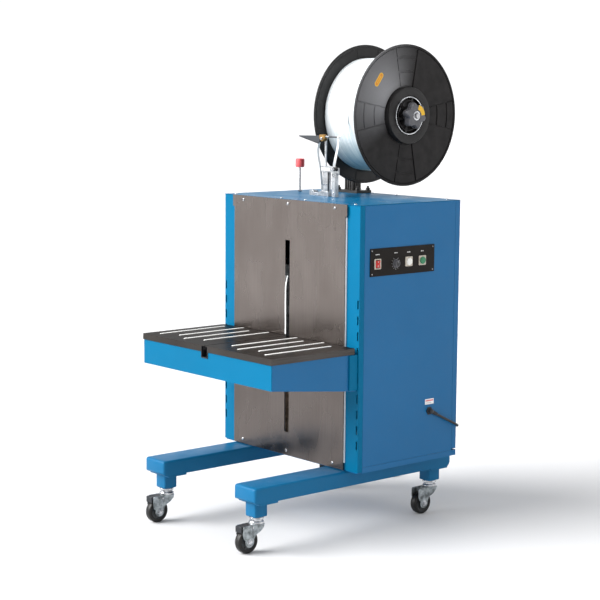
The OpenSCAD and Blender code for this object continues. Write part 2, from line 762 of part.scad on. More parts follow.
module guide_roller() piece(dark) difference() {
    rod_y(7, guide_y - 13, guide_y + 0.5, roller_x, roller_z);
    rod_y(pin_r + slip, guide_y - 14, guide_y + 1, roller_x, roller_z);
}

strap_w = 9;
strap_t = 0.8;

// One straight run of strap between two [x, z] points, its width along Y.
module strap_run(a, b, y) front_profile(y - strap_w / 2, y + strap_w / 2) {
    d = unit(b - a);
    n = [-d[1], d[0]] * strap_t / 2;
    polygon([a + n, b + n, b - n, a - n]);
}

module guide_strap() piece(pale) {
    strap_run([25, pivot_z - 1], [6.5, head_z + 20], guide_y - 8);
    strap_run([-80, 1238], [-68, head_z + 4], guide_y + 4);
    strap_run([-66, head_z - 2], [-64, cabinet_top + 18], guide_y + 8);
}

// End of the strap, hanging out of the slot onto the table.
tail_x = -7;
tail_high = 814;

module strap_tail() piece(pale) {
    y = -plate_proud - 1;
    block([tail_x - 4.5, y - strap_t, table_top + 3], [tail_x + 4.5, y, tail_high]);
    block([tail_x - 4.5, y - strap_t, tail_high - strap_t], [tail_x + 4.5, 10, tail_high]);
}

rod_x0 = -275;
rod_y0 = 279;

module tension_knob() piece(red) translate([rod_x0, rod_y0, 0]) {
    translate([0, 0, cabinet_top - 30]) cylinder(r = 4, h = 116);
    translate([0, 0, 1150]) cylinder(r = 15.5, h = 30);
}

// ---- Sealing head and drive ------------------------------------------------------------------------

head_low = 590;
head_high = 850;
head_back = 122;
cheek_in = 13;
cheek_t = 5;
cam_y = 62;
cam_z = 700;
feed_y = 40;
feed_z = 780;
shaft_r = 8;

// Mounting plate across the cabinet, with the two cheeks of the sealing head.
module head_frame() piece(zinc) {
    block([-post_x + 1, head_back, head_low], [post_x - 1, head_back + 4, head_high]);
    both_sides() {
        block([post_x - 4, post_t + 1, head_low], [post_x - 1, head_back + 4, head_high]);
        difference() {
            block([cheek_in, -5, head_low], [cheek_in + cheek_t, head_back + 1, head_high]);
            rod_x(shaft_r + slip, cheek_in - 1, cheek_in + cheek_t + 1, cam_y, cam_z);
            rod_x(5 + slip, cheek_in - 1, cheek_in + cheek_t + 1, feed_y, feed_z);
        }
    }
}

motor_x = -210;

module gear_motor() piece(dark) difference() {
    union() {
        block([-120, 16, cam_z - 46], [-44, head_back, cam_z + 46]);
        rod_x(42, motor_x, -119, cam_y, cam_z);
        block([motor_x + 20, cam_y, cam_z - 20], [-119, head_back, cam_z + 20]);
        block([motor_x + 26, cam_y - 30, cam_z + 34], [motor_x + 66, cam_y + 30, cam_z + 58]);
    }
    rod_x(shaft_r + slip, -60, -43, cam_y, cam_z);
}

module cam_shaft() piece(steel) {
    rod_x(shaft_r, -58, 40, cam_y, cam_z);
    // Two cams with their lobes on opposite sides, and a timing disc outside the right cheek.
    rod_x(14, -9, -3, cam_y + 4, cam_z);
    rod_x(14, 3, 9, cam_y - 4, cam_z);
    rod_x(22, 22, 30, cam_y, cam_z);
}

module press_platen() piece(steel) {
    block([-9, 6, cam_z - 14], [9, 34, cam_z + 14]);
    block([-12.6, 14, cam_z - 10], [12.6, 24, cam_z + 10]);
}

module feed_roller() piece(dark) {
    rod_x(5, -28, 28, feed_y, feed_z);
    rod_x(22, -9, 9, feed_y, feed_z);
    for (x = [-26, 22]) rod_x(9, x, x + 4, feed_y, feed_z);
}

module control_board() piece(green) {
    y = head_back + 4;
    for (x = [80, 240], z = [660, 800]) rod_y(4, y, y + 12, x, z);
    block([70, y + 12, 650], [250, y + 14, 810]);
    block([84, y + 14, 665], [134, y + 54, 715]);
    for (x = [160, 190, 220]) rod_y(9, y + 14, y + 40, x, 690);
    block([100, y + 14, 740], [230, y + 24, 770]);
}

// ---- The nodes -----------------------------------------------------------------------------------

leg_left();
leg_right();
caster_posts();
base_plate();
post_left();
post_right();
front_plate();
top_cover();
side_cover_left();
side_cover_right();
rear_cover();
cover_screws();
control_panel();
control_bezels();
power_rocker();
feed_dial();
white_button();
green_button();
cable_gland();
power_cord();
cord_coil();
cord_plug();
cord_clips();
caster_fork(-leg_x, caster_front_y);  // caster_fork_front_left
caster_fork(leg_x, caster_front_y);  // caster_fork_front_right
caster_fork(-leg_x, caster_rear_y);  // caster_fork_rear_left
caster_fork(leg_x, caster_rear_y);  // caster_fork_rear_right
caster_wheel(-leg_x, caster_front_y);  // caster_wheel_front_left
caster_wheel(leg_x, caster_front_y);  // caster_wheel_front_right
caster_wheel(-leg_x, caster_rear_y);  // caster_wheel_rear_left
caster_wheel(leg_x, caster_rear_y);  // caster_wheel_rear_right
brake_lever(-leg_x);  // brake_lever_left
brake_lever(leg_x);  // brake_lever_right
table_apron();
table_side_left();
table_side_right();
table_rear_rail();
table_plates();
glide_strips();
strap_channel();
reel_stand();
reel_axle();
reel_flange_near();
reel_flange_far();
reel_core();
strap_coil();
reel_knob();
strap_bracket();
guide_arm();
arm_hub();
guide_roller();
guide_strap();
strap_tail();
tension_knob();
head_frame();
gear_motor();
cam_shaft();
press_platen();
feed_roller();
control_board();
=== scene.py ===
"""Looks of the semi automatic strapping machine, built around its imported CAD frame."""
import json
import math

import bmesh
import bpy
from mathutils import Matrix, Vector

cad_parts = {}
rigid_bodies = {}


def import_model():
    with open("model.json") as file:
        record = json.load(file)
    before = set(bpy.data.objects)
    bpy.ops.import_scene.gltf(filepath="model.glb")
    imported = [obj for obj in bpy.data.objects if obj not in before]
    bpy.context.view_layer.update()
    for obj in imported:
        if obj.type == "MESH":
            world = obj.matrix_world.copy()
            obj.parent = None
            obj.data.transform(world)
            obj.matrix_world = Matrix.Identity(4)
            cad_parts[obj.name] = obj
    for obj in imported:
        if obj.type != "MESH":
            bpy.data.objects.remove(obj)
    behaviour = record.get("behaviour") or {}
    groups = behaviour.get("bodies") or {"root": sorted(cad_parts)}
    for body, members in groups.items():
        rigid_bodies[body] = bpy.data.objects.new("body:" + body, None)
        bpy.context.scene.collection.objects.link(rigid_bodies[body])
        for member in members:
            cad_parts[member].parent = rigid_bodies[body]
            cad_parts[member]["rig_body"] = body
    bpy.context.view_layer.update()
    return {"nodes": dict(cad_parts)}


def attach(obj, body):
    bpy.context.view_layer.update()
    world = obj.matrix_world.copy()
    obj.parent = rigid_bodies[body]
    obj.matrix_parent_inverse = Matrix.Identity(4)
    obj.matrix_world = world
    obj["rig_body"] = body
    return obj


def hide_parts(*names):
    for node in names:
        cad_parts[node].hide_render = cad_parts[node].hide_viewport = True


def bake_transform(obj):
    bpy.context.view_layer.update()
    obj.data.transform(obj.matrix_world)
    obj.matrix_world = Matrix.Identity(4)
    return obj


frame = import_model()
NODES = frame["nodes"]

# ---- Frames ----

# Millimetres to metres, and turns that lay local Z along X and along Y.
MM = Matrix.Scale(0.001, 4)
ALONG_X = Matrix(((0, 0, 1, 0), (1, 0, 0, 0), (0, 1, 0, 0), (0, 0, 0, 1)))
ALONG_Y = Matrix(((0, 1, 0, 0), (0, 0, 1, 0), (1, 0, 0, 0), (0, 0, 0, 1)))
# Depths are measured from the posts' front, which stands here in the shared frame.
FRONT_Y = -128
REEL_Y, REEL_Z = 424, 1335


def at(x, y, z, turn=Matrix()):
    """A local frame in millimetres, at a point whose depth is measured from the posts' front."""
    return MM @ Matrix.Translation((x, y + FRONT_Y, z)) @ turn


def turned_by(angle, axis="Z"):
    return Matrix.Rotation(math.radians(angle), 4, axis)


DESIGN = at(0, 0, 0)
FRONTAL = at(0, 0, 0, ALONG_Y)
REEL = at(0, REEL_Y, REEL_Z, ALONG_X)
TOWARD_FRONT = ALONG_Y @ Matrix.Scale(-1, 4, (0, 0, 1))

# ---- Camera, light and stage ----

CAMERA_AT = Vector((4.0740, -3.5776, 1.4428))
AZIMUTH, ELEVATION, ROLL = math.radians(49.36), math.radians(7.56), math.radians(0.41)
LENS = 98.42


def aim(azimuth, elevation, roll=0.0):
    """Rotation of a camera or lamp that stands at that azimuth and elevation and looks at the middle."""
    back = Vector((math.sin(azimuth) * math.cos(elevation), -math.cos(azimuth) * math.cos(elevation),
                   math.sin(elevation)))
    right = Vector((math.cos(azimuth), math.sin(azimuth), 0))
    up = back.cross(right)
    turned_right = right * math.cos(roll) + up * math.sin(roll)
    turned_up = up * math.cos(roll) - right * math.sin(roll)
    return Matrix((turned_right, turned_up, back)).transposed()


def add_object(name, data):
    thing = bpy.data.objects.new(name, data)
    bpy.context.scene.collection.objects.link(thing)
    return thing


def add_camera():
    data = bpy.data.cameras.new("camera")
    data.lens, data.sensor_width, data.clip_end = LENS, 36.0, 60.0
    camera = add_object("camera", data)
    camera.matrix_world = Matrix.Translation(CAMERA_AT) @ aim(AZIMUTH, ELEVATION, ROLL).to_4x4()
    bpy.context.scene.camera = camera


def add_sun(azimuth, elevation, spread, strength):
    data = bpy.data.lights.new("key", "SUN")
    data.angle, data.energy = math.radians(spread), strength
    add_object("key", data).matrix_world = aim(math.radians(azimuth), math.radians(elevation)).to_4x4()


def add_lamp(azimuth, elevation, distance, size, power, target=(0, 0, 0.75)):
    data = bpy.data.lights.new("top", "AREA")
    data.size, data.energy = size, power
    turn = aim(math.radians(azimuth), math.radians(elevation))
    place = Vector(target) + turn @ Vector((0, 0, distance))
    add_object("top", data).matrix_world = Matrix.Translation(place) @ turn.to_4x4()


def add_world():
    """A soft studio dome: bright behind the machine and to its right, dimmer where the front plate looks."""
    world = bpy.data.worlds.new("studio")
    world.use_nodes = True
    background = world.node_tree.nodes["Background"]
    sky = Nodes(world.node_tree)
    direction = sky.add("ShaderNodeTexCoord").outputs["Generated"]
    strengths = []
    for toward, stops in (((0.30, 0.95, 0.0), ((-0.9, 0.60), (0.2, 1.04), (1.0, 1.25))),
                          ((0.0, 0.0, 1.0), ((0.05, 1.0), (0.4, 0.72), (1.0, 0.85)))):
        dot = sky.add("ShaderNodeVectorMath")
        dot.operation = "DOT_PRODUCT"
        sky.feed(dot.inputs[0], direction)
        sky.feed(dot.inputs[1], toward)
        # The curve is laid over 0..1, so what goes in is scaled to fit and what comes out is doubled.
        share = sky.math("MULTIPLY_ADD", dot.outputs["Value"], 0.5, 0.5)
        ramp = sky.add("ShaderNodeFloatCurve", Value=share)
        ramp.mapping.clip_max_y = 2.0
        points = ramp.mapping.curves[0].points
        for k, (place, value) in enumerate(stops):
            where = (place * 0.5 + 0.5, value * 0.5)
            point = points[k] if k < 2 else points.new(*where)
            point.location, point.handle_type = where, "VECTOR"
        ramp.mapping.update()
        strengths.append(sky.math("MULTIPLY", ramp.outputs["Value"], 2.0))
    sky.feed(background.inputs["Color"], (0.985, 0.99, 1.0, 1))
    sky.feed(background.inputs["Strength"], sky.math("MULTIPLY", *strengths))
    bpy.context.scene.world = world


def add_stage():
    bpy.context.scene.view_settings.view_transform = "Standard"
    add_world()
    bpy.ops.mesh.primitive_plane_add(size=400)
    floor = bpy.context.object
    floor.name = "floor"
    floor.data.materials.append(plain_floor())
    add_sun(-30, 35, 50, 6.1)
    add_lamp(20, 80, 3.6, 2.6, 10)


# ---- Shader helpers ----


class Nodes:
    """Adds shader nodes to a tree. What feeds a socket is a plain value or another node's output."""

    def __init__(self, tree):
        self.tree = tree

    def add(self, kind, **inputs):
        node = self.tree.nodes.new(kind)
        for socket, value in inputs.items():
            self.feed(node.inputs[socket.replace("_", " ")], value)
        return node

    def feed(self, socket, value):
        if isinstance(value, bpy.types.NodeSocket):
            self.tree.links.new(value, socket)
        else:
            socket.default_value = value

    def math(self, operation, *values):
        node = self.add("ShaderNodeMath")
        node.operation = operation
        for socket, value in zip(node.inputs, values):
            self.feed(socket, value)
        return node.outputs[0]


class Shader(Nodes):
    """A Principled material. Values that are the same all over go on its own sockets."""

    def __init__(self, name, color, roughness, metallic=0.0, **plain):
        self.material = bpy.data.materials.new(name)
        self.material.use_nodes = True
        super().__init__(self.material.node_tree)
        self.shader = self.tree.nodes["Principled BSDF"]
        self.set("Base Color", (*color, 1))
        self.set("Roughness", roughness)
        self.set("Metallic", metallic)
        for socket, value in plain.items():
            self.set(socket.replace("_", " "), value)

    def set(self, socket, value):
        self.shader.inputs[socket].default_value = value

    def place(self, stretch=(1, 1, 1)):
        """Object coordinates, stretched along each axis."""
        coordinates = self.add("ShaderNodeTexCoord")
        mapping = self.add("ShaderNodeMapping", Vector=coordinates.outputs["Object"], Scale=stretch)
        return mapping.outputs["Vector"]

    def axis(self, letter):
        return self.add("ShaderNodeSeparateXYZ", Vector=self.place()).outputs[letter]

    def noise(self, scale, detail=4.0, stretch=(1, 1, 1)):
        node = self.add("ShaderNodeTexNoise", Vector=self.place(stretch), Scale=scale, Detail=detail,
                        Roughness=0.55)
        return node.outputs["Fac"]

    def noise_of(self, value):
        """Noise along one value."""
        node = self.add("ShaderNodeTexNoise", Scale=1.0, Detail=2.0)
        node.noise_dimensions = "1D"
        self.feed(node.inputs["W"], value)
        return node.outputs["Fac"]

    def span(self, value, low, high, out_low=0.0, out_high=1.0):
        """Maps low..high of a value to out_low..out_high, held at both ends."""
        node = self.add("ShaderNodeMapRange", Value=value)
        limits = {"From Min": low, "From Max": high, "To Min": out_low, "To Max": out_high}
        for socket, limit in limits.items():
            node.inputs[socket].default_value = limit
        return node.outputs["Result"]

    def vary(self, scale, detail, low=0.0, high=1.0):
        """Noise that spreads over low..high."""
        return self.span(self.noise(scale, detail), 0.3, 0.7, low, high)

    def blend(self, factor, first, second):
        """A colour between two colours, each a tuple or a socket."""
        node = self.tree.nodes.new("ShaderNodeMix")
        node.data_type = "RGBA"
        self.feed(node.inputs["Factor"], factor)
        for socket, value in ((node.inputs[6], first), (node.inputs[7], second)):
            self.feed(socket, (*value, 1) if isinstance(value, tuple) and len(value) == 3 else value)
        return node.outputs[2]

    def color(self, value):
        self.feed(self.shader.inputs["Base Color"], value)

    def rough(self, value):
        self.feed(self.shader.inputs["Roughness"], value)

    def bump(self, height, strength=0.3, distance=0.0005):
        node = self.add("ShaderNodeBump", Height=height, Strength=strength, Distance=distance)
        self.feed(self.shader.inputs["Normal"], node.outputs["Normal"])


def plain_floor():
    look = Shader("floor_white", (0.66, 0.66, 0.665), 0.75, Specular_IOR_Level=0.2)
    look.rough(look.vary(3.0, 4.0, 0.7, 0.85))
    return look.material


# ---- Materials ----


def blue_paint(name, shine, deep=(0.001, 0.13, 0.262), low=0.32, high=0.46):
    """Enamel on sheet steel: faint orange peel and slow changes of tone."""
    look = Shader(name, (0.001, 0.13, 0.26), 0.4, Specular_IOR_Level=shine)
    tone = look.vary(2.2, 3.0)
    dust = look.span(look.noise(60.0, 5.0), 0.62, 0.80, 0.0, 0.10)
    base = look.blend(tone, tuple(0.94 * part for part in deep), tuple(1.06 * part for part in deep))
    look.color(look.blend(dust, base, (0.04, 0.18, 0.32)))
    look.rough(look.vary(14.0, 5.0, low, high))
    look.bump(look.noise(420.0, 2.0), 0.06, 0.0004)
    return look.material


def brushed_steel(name, dark, light, low, high, stretch, strength=0.12, anisotropy=0.5, edge=1.0):
    """Rolled stainless with fine grain lines along one axis; edge dims what it mirrors at a low angle."""
    look = Shader(name, light, 0.3, 1.0, Anisotropic=anisotropy, Specular_Tint=(edge, edge, edge, 1))
    grain = look.noise(520.0, 3.0, stretch)
    broad = look.noise(5.0, 3.0)
    tone = look.math("ADD", look.math("MULTIPLY", grain, 0.55), look.math("MULTIPLY", broad, 0.45))
    look.color(look.blend(look.span(tone, 0.35, 0.65), dark, light))
    look.rough(look.span(look.math("ADD", grain, look.math("MULTIPLY", broad, 0.6)), 0.5, 1.1, low, high))
    look.bump(grain, strength, 0.0002)
    return look.material


def front_steel():
    """Upright brushed stainless with cloudy patches, and painted shade: darker towards the bottom, where the
    table shades it.
    """
    look = Shader("front_stainless", (0.2, 0.185, 0.175), 0.3, 1.0, Anisotropic=0.4)
    grain = look.noise(420.0, 3.0, (1, 1, 0.010))
    cloud = look.noise(9.0, 2.5, (1, 1, 0.55))
    # Painted shade: both colours darken below 0.5 to 0.8 m of height, where the table shades the plate.
    height = look.span(look.math("ADD", look.axis("Z"), look.math("MULTIPLY", cloud, 0.08)), 0.50, 0.80)
    base = look.blend(height, (0.120, 0.103, 0.096), (0.164, 0.140, 0.129))
    worn_with_painted_shade = look.blend(height, (0.160, 0.140, 0.131), (0.214, 0.188, 0.174))
    tone = look.math("ADD", look.math("MULTIPLY", grain, 0.45), look.math("MULTIPLY", cloud, 0.55))
    look.color(look.blend(look.span(tone, 0.36, 0.64), base, worn_with_painted_shade))
    look.rough(look.span(cloud, 0.3, 0.7, 0.20, 0.34))
    look.bump(grain, 0.04, 0.0002)
    return look.material


def cast_zinc(name, dark, light, low=0.28, high=0.48):
    """Zinc plate with the cloudy patches of passivated metal."""
    look = Shader(name, light, 0.35, 0.9)
    cloud = look.span(look.noise(55.0, 5.0), 0.35, 0.65)
    look.color(look.blend(cloud, dark, light))
    look.rough(look.vary(160.0, 4.0, low, high))
    look.bump(look.noise(380.0, 3.0), 0.10, 0.0003)
    return look.material


def reel_moulding():
    """Black reel moulding, finely turned, with a painted highlight: a wedge of gloss from its boss to the
    upper left, which turns with the reel.
    """
    look = Shader("reel_black_near_with_painted_highlight", (0.02, 0.02, 0.022), 0.4, Specular_IOR_Level=0.15)
    across = look.math("SUBTRACT", look.axis("Y"), (REEL_Y + FRONT_Y) / 1000)
    up = look.math("SUBTRACT", look.axis("Z"), REEL_Z / 1000)
    squares = look.math("ADD", look.math("MULTIPLY", across, across), look.math("MULTIPLY", up, up))
    radius = look.math("SQRT", squares)
    # Painted highlight: a pale wedge towards the upper left, fading outward and broken by faint rings,
    # blended into the colour.
    along = look.math("ADD", look.math("MULTIPLY", across, -0.80), look.math("MULTIPLY", up, 0.60))
    wedge = look.span(look.math("DIVIDE", along, look.math("MAXIMUM", radius, 0.01)), 0.30, 1.0)
    fade = look.span(radius, 0.09, 0.235, 1.0, 0.42)
    rings = look.span(look.noise_of(look.math("MULTIPLY", radius, 900.0)), 0.3, 0.7, 0.82, 1.0)
    shine = look.math("MULTIPLY", look.math("MULTIPLY", look.math("POWER", wedge, 1.6), fade), rings)
    tone = look.blend(look.vary(30.0, 4.0), (0.009, 0.008, 0.008), (0.020, 0.018, 0.018))
    look.color(look.blend(shine, tone, (0.32, 0.32, 0.33)))
    look.rough(look.vary(50.0, 4.0, 0.32, 0.46))
    look.bump(look.noise(420.0, 3.0), 0.14, 0.0003)
    return look.material


def moulded(name, dark, light, low, high, grain=700.0, strength=0.12, **plain):
    """Moulded plastic or rubber: fine grain, and slow changes of tone and gloss."""
    look = Shader(name, light, (low + high) / 2, 0.0, **plain)
    look.color(look.blend(look.vary(9.0, 4.0), dark, light))
    look.rough(look.vary(45.0, 4.0, low, high))
    look.bump(look.noise(grain, 3.0), strength, 0.0003)
    return look.material


def wound_strap():
    """Layers of plastic strap: fine lines round the coil, and a painted reflection of the blue cover, bluish
    towards the coil's lower side.
    """
    look = Shader("wound_strap", (0.85, 0.90, 0.92), 0.35, 0.0, Coat_Weight=0.2, Coat_Roughness=0.2)
    lines = look.noise(230.0, 3.0, (1, 0.02, 0.02))
    height = look.math("ADD", look.axis("Z"), look.math("MULTIPLY", lines, 0.11))
    # Painted reflection: a cyan blend, strongest at the coil's bottom, stands for the blue cover mirrored in
    # the strap.
    blue_reflection = look.span(height, 1.15, 1.36, 1.0, 0.0)
    base = look.blend(look.span(lines, 0.35, 0.65), (0.74, 0.80, 0.82), (0.90, 0.93, 0.94))
    look.color(look.blend(look.math("POWER", blue_reflection, 1.6), base, (0.05, 0.33, 0.37)))
    look.rough(look.span(lines, 0.3, 0.7, 0.28, 0.5))
    look.bump(lines, 0.35, 0.0006)
    return look.material


MATERIALS = {
    "blue": blue_paint("blue_enamel", 0.06),
    "blue_leg": blue_paint("blue_enamel_legs", 0.14, (0.006, 0.120, 0.262)),
    "blue_cover": blue_paint("blue_enamel_covers", 0.30, (0.001, 0.115, 0.288)),
    "blue_top": blue_paint("blue_enamel_top", 0.05, (0.001, 0.100, 0.215), 0.26, 0.38),
    "plate": front_steel(),
    "table_steel": brushed_steel("table_stainless", (0.055, 0.050, 0.047), (0.095, 0.088, 0.083), 0.26, 0.40,
                                 (1, 0.02, 1), 0.05, 0.5, 0.45),
    "zinc": cast_zinc("zinc_plate", (0.36, 0.37, 0.38), (0.60, 0.62, 0.64), 0.24, 0.42),
    "fork_zinc": cast_zinc("caster_zinc", (0.12, 0.135, 0.14), (0.46, 0.50, 0.52), 0.30, 0.50),
    "chrome": cast_zinc("bright_screws", (0.34, 0.35, 0.37), (0.80, 0.81, 0.83), 0.12, 0.26),
    "machined": brushed_steel("machined_steel", (0.38, 0.38, 0.39), (0.55, 0.55, 0.56), 0.22, 0.38,
                              (1, 1, 0.05)),
    "black_panel": moulded("panel_black", (0.008, 0.006, 0.005), (0.014, 0.011, 0.009), 0.34, 0.5,
                           Specular_IOR_Level=0.12),
    "bezel": moulded("bezel_cream", (0.46, 0.41, 0.34), (0.58, 0.53, 0.46), 0.35, 0.5),
    "red": moulded("red_plastic", (0.60, 0.026, 0.022), (0.74, 0.045, 0.035), 0.25, 0.4, Coat_Weight=0.2),
    "cap_red": moulded("cap_red", (0.72, 0.090, 0.098), (0.84, 0.130, 0.140), 0.3, 0.45),
    "dial": moulded("dial_black", (0.014, 0.014, 0.015), (0.03, 0.03, 0.031), 0.4, 0.55),
    "white": moulded("white_plastic", (0.74, 0.74, 0.70), (0.82, 0.82, 0.79), 0.25, 0.4),
    "green": moulded("green_plastic", (0.008, 0.16, 0.065), (0.015, 0.22, 0.09), 0.25, 0.4, Coat_Weight=0.2),
    "cable": moulded("cable_rubber", (0.010, 0.010, 0.011), (0.020, 0.020, 0.022), 0.42, 0.6),
    "tyre": moulded("tyre_rubber", (0.006, 0.006, 0.006), (0.016, 0.015, 0.014), 0.28, 0.46, 500.0, 0.15,
                    Specular_IOR_Level=0.3),
    "lever": moulded("lever_black", (0.008, 0.009, 0.012), (0.022, 0.025, 0.03), 0.3, 0.45,
                     Specular_IOR_Level=0.3),
    "strip": moulded("strip_white", (0.86, 0.86, 0.83), (0.91, 0.91, 0.89), 0.3, 0.45),
    "channel": moulded("channel_black", (0.008, 0.008, 0.009), (0.018, 0.018, 0.02), 0.35, 0.5),
    "reel_near": reel_moulding(),
    "label_yellow": moulded("label_yellow", (0.72, 0.40, 0.01), (0.80, 0.47, 0.015), 0.3, 0.45),
    "label_orange": moulded("label_orange", (0.62, 0.20, 0.01), (0.70, 0.25, 0.012), 0.3, 0.45),
    "label_white": moulded("label_white", (0.76, 0.76, 0.76), (0.84, 0.84, 0.84), 0.35, 0.5),
    "label_pink": moulded("label_pink", (0.60, 0.16, 0.18), (0.68, 0.20, 0.22), 0.35, 0.5),
    "label_grey": moulded("label_grey", (0.28, 0.28, 0.29), (0.36, 0.36, 0.37), 0.35, 0.5),
    "mark": moulded("panel_mark", (0.60, 0.60, 0.59), (0.74, 0.74, 0.73), 0.35, 0.5),
    "hub": moulded("wheel_hub_grey", (0.030, 0.034, 0.036), (0.06, 0.066, 0.07), 0.35, 0.5),
    "track": cast_zinc("track_steel", (0.13, 0.105, 0.085), (0.30, 0.25, 0.21), 0.34, 0.5),
    # Pale colour for the front plate's folded side edges: a painted highlight of the light those edges catch.
    "edge_highlight": moulded("plate_edge_painted_highlight", (0.70, 0.72, 0.74), (0.82, 0.84, 0.86), 0.25, 0.4),
    "reel_black": moulded("reel_black", (0.010, 0.009, 0.009), (0.020, 0.019, 0.019), 0.30, 0.48, 420.0,
                          0.14, Specular_IOR_Level=0.28),
    "stand": moulded("stand_black", (0.016, 0.014, 0.013), (0.03, 0.027, 0.025), 0.35, 0.55),
    "strap_coil": wound_strap(),
    "strap": moulded("strap_white", (0.72, 0.74, 0.74), (0.86, 0.88, 0.88), 0.3, 0.45),
    "knob": moulded("knob_grey", (0.07, 0.07, 0.078), (0.12, 0.12, 0.13), 0.35, 0.5),
    "arm": moulded("arm_black", (0.02, 0.024, 0.028), (0.04, 0.045, 0.052), 0.3, 0.45),
    "brass": cast_zinc("brass_hub", (0.20, 0.11, 0.035), (0.38, 0.23, 0.08)),
    "motor": moulded("motor_grey", (0.03, 0.035, 0.04), (0.055, 0.06, 0.065), 0.35, 0.5),
    "roller": moulded("roller_rubber", (0.02, 0.02, 0.02), (0.035, 0.035, 0.035), 0.5, 0.65),
    "board": moulded("board_green", (0.006, 0.08, 0.03), (0.012, 0.12, 0.05), 0.3, 0.45),
}

# A material, an edge radius in metres, and the CAD nodes that wear them. The other nodes are
# stood for by pieces of this script.
DRESS = (
    ("blue_cover", 0.0008, "base_plate side_cover_left side_cover_right rear_cover"),
    ("blue_cover", 0.0008, "table_side_left table_side_right"),
    ("blue", 0.0012, "post_left post_right"), ("blue", 0.0008, "table_apron"),
    ("blue", 0.0006, "table_rear_rail"), ("blue_top", 0.0008, "top_cover"),
    ("plate", 0, "front_plate"), ("black_panel", 0, "control_panel"),
    ("table_steel", 0.0006, "table_plates"), ("channel", 0.0005, "strap_channel"),
    ("channel", 0.0004, "cord_clips"), ("stand", 0.0008, "reel_stand"), ("machined", 0.0006, "reel_axle"),
    ("reel_black", 0, "reel_core"), ("zinc", 0.0005, "head_frame"), ("motor", 0.002, "gear_motor"),
    ("machined", 0.0004, "cam_shaft press_platen"), ("roller", 0.0005, "feed_roller"),
    ("board", 0.0004, "control_board"),
)


def soften(thing, edge):
    bevel = thing.modifiers.new("edges", "BEVEL")
    bevel.width, bevel.segments, bevel.limit_method = edge, 2, "ANGLE"
    bevel.angle_limit = math.radians(40)


def dress(node, look, edge):
    """Gives a CAD node its material and, where it has an edge radius, softened edges."""
    thing = NODES[node]
    thing.data.materials.clear()
    thing.data.materials.append(MATERIALS[look])
    if edge:
        thing.modifiers.new("weld", "WELD").merge_threshold = 0.00001
        soften(thing, edge)


# ---- Mesh building ----


def settle(thing, body, nodes=()):
    """Joins a new piece to its body and hides the CAD nodes that it stands for."""
    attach(thing, body)
    if nodes:
        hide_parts(*nodes)
    return thing


def headings(points):
    """Direction of travel at each point of a path."""
    return [(after - before).normalized()
            for before, after in zip(points[:1] + points[:-1], points[1:] + points[-1:])]


class Form:
    """Closed shells in millimetres that become one piece."""

    def __init__(self, place):
        self.place, self.points, self.faces, self.marks = place, [], [], []

    def shell(self, rings, mark=0, loop=False, place=None):
        """Bridges rings of equally many points; the two end rings are capped unless they meet."""
        place = self.place if place is None else place
        start, count = len(self.points), len(rings[0])
        self.points += [place @ Vector(point) for ring in rings for point in ring]
        faces = []
        for i in range(len(rings) - (not loop)):
            a, b = start + i * count, start + (i + 1) % len(rings) * count
            faces += [(a + k, a + (k + 1) % count, b + (k + 1) % count, b + k) for k in range(count)]
        if not loop:
            last = start + (len(rings) - 1) * count
            faces += [tuple(range(start, start + count)), tuple(range(last, last + count))]
        self.faces += faces
        self.marks += [mark] * len(faces)

    def turned(self, profile, steps=64, mark=0, loop=False, place=None, lobe=lambda angle: 1.0):
        """Revolves (radius, height) points round local Z; lobe scales the radius by the angle."""
        turns = [math.tau * k / steps for k in range(steps)]
        self.shell([[(radius * lobe(a) * math.cos(a), radius * lobe(a) * math.sin(a), height) for a in turns]
                    for radius, height in profile], mark, loop, place)

    def peg(self, radius, low, high, steps, mark=0, place=None, middle=0.5):
        """A plain round bar along local Z; its end faces start from a circle of the middle's radius."""
        profile = [(middle, low), (radius, low), (radius, high), (middle, high)]
        self.turned(profile, steps, mark, place=place)

    def prism(self, outline, low, high, mark=0, place=None):
        self.shell([[(x, y, h) for x, y in outline] for h in (low, high)], mark, False, place)

    def upright(self, outline, low, high):
        """A plate parallel to the machine's front, from an outline in X and Z."""
        self.prism([(z, x) for x, z in outline], low, high, place=FRONTAL)

    def box(self, low, high, mark=0, place=None):
        self.prism(((low[0], low[1]), (high[0], low[1]), (high[0], high[1]), (low[0], high[1])),
                   low[2], high[2], mark, place)

    def tube(self, path, radius, sides, mark=0):
        """A round bar along a path."""
        points = [Vector(p) for p in path]
        ahead = headings(points)
        side, rings = ahead[0].orthogonal().normalized(), []
        for point, way in zip(points, ahead):
            side = (side - way * side.dot(way)).normalized()
            across = way.cross(side)
            rings.append([point + radius * (math.cos(a) * side + math.sin(a) * across)
                          for a in (math.tau * k / sides for k in range(sides))])
        self.shell(rings, mark)

    def ribbon(self, path, sides, width, thick):
        """A flat strap along a path; sides gives the direction of its width at each point."""
        points, rings = [Vector(p) for p in path], []
        for point, way, side in zip(points, headings(points), sides):
            side = Vector(side)
            side = (side - way * side.dot(way)).normalized()
            face = way.cross(side)
            rings.append([point + side * (a * width / 2) + face * (b * thick / 2)
                          for a, b in ((-1, -1), (0, -1), (1, -1), (1, 1), (0, 1), (-1, 1))])
        self.shell(rings)

    def build(self, name, looks, body, slot, nodes=(), edge=0.0, sharp=35):
        mesh = bpy.data.meshes.new(name)
        mesh.from_pydata(self.points, [], self.faces)
        for look in looks.split():
            mesh.materials.append(MATERIALS[look])
        mesh.polygons.foreach_set("material_index", self.marks)
        work = bmesh.new()
        work.from_mesh(mesh)
        bmesh.ops.recalc_face_normals(work, faces=work.faces)
        work.to_mesh(mesh)
        work.free()
        mesh.shade_smooth()
        mesh.set_sharp_from_angle(angle=math.radians(sharp))
        thing = add_object(name, mesh)
        if edge:
            soften(thing, edge)
        return settle(thing, body, nodes)


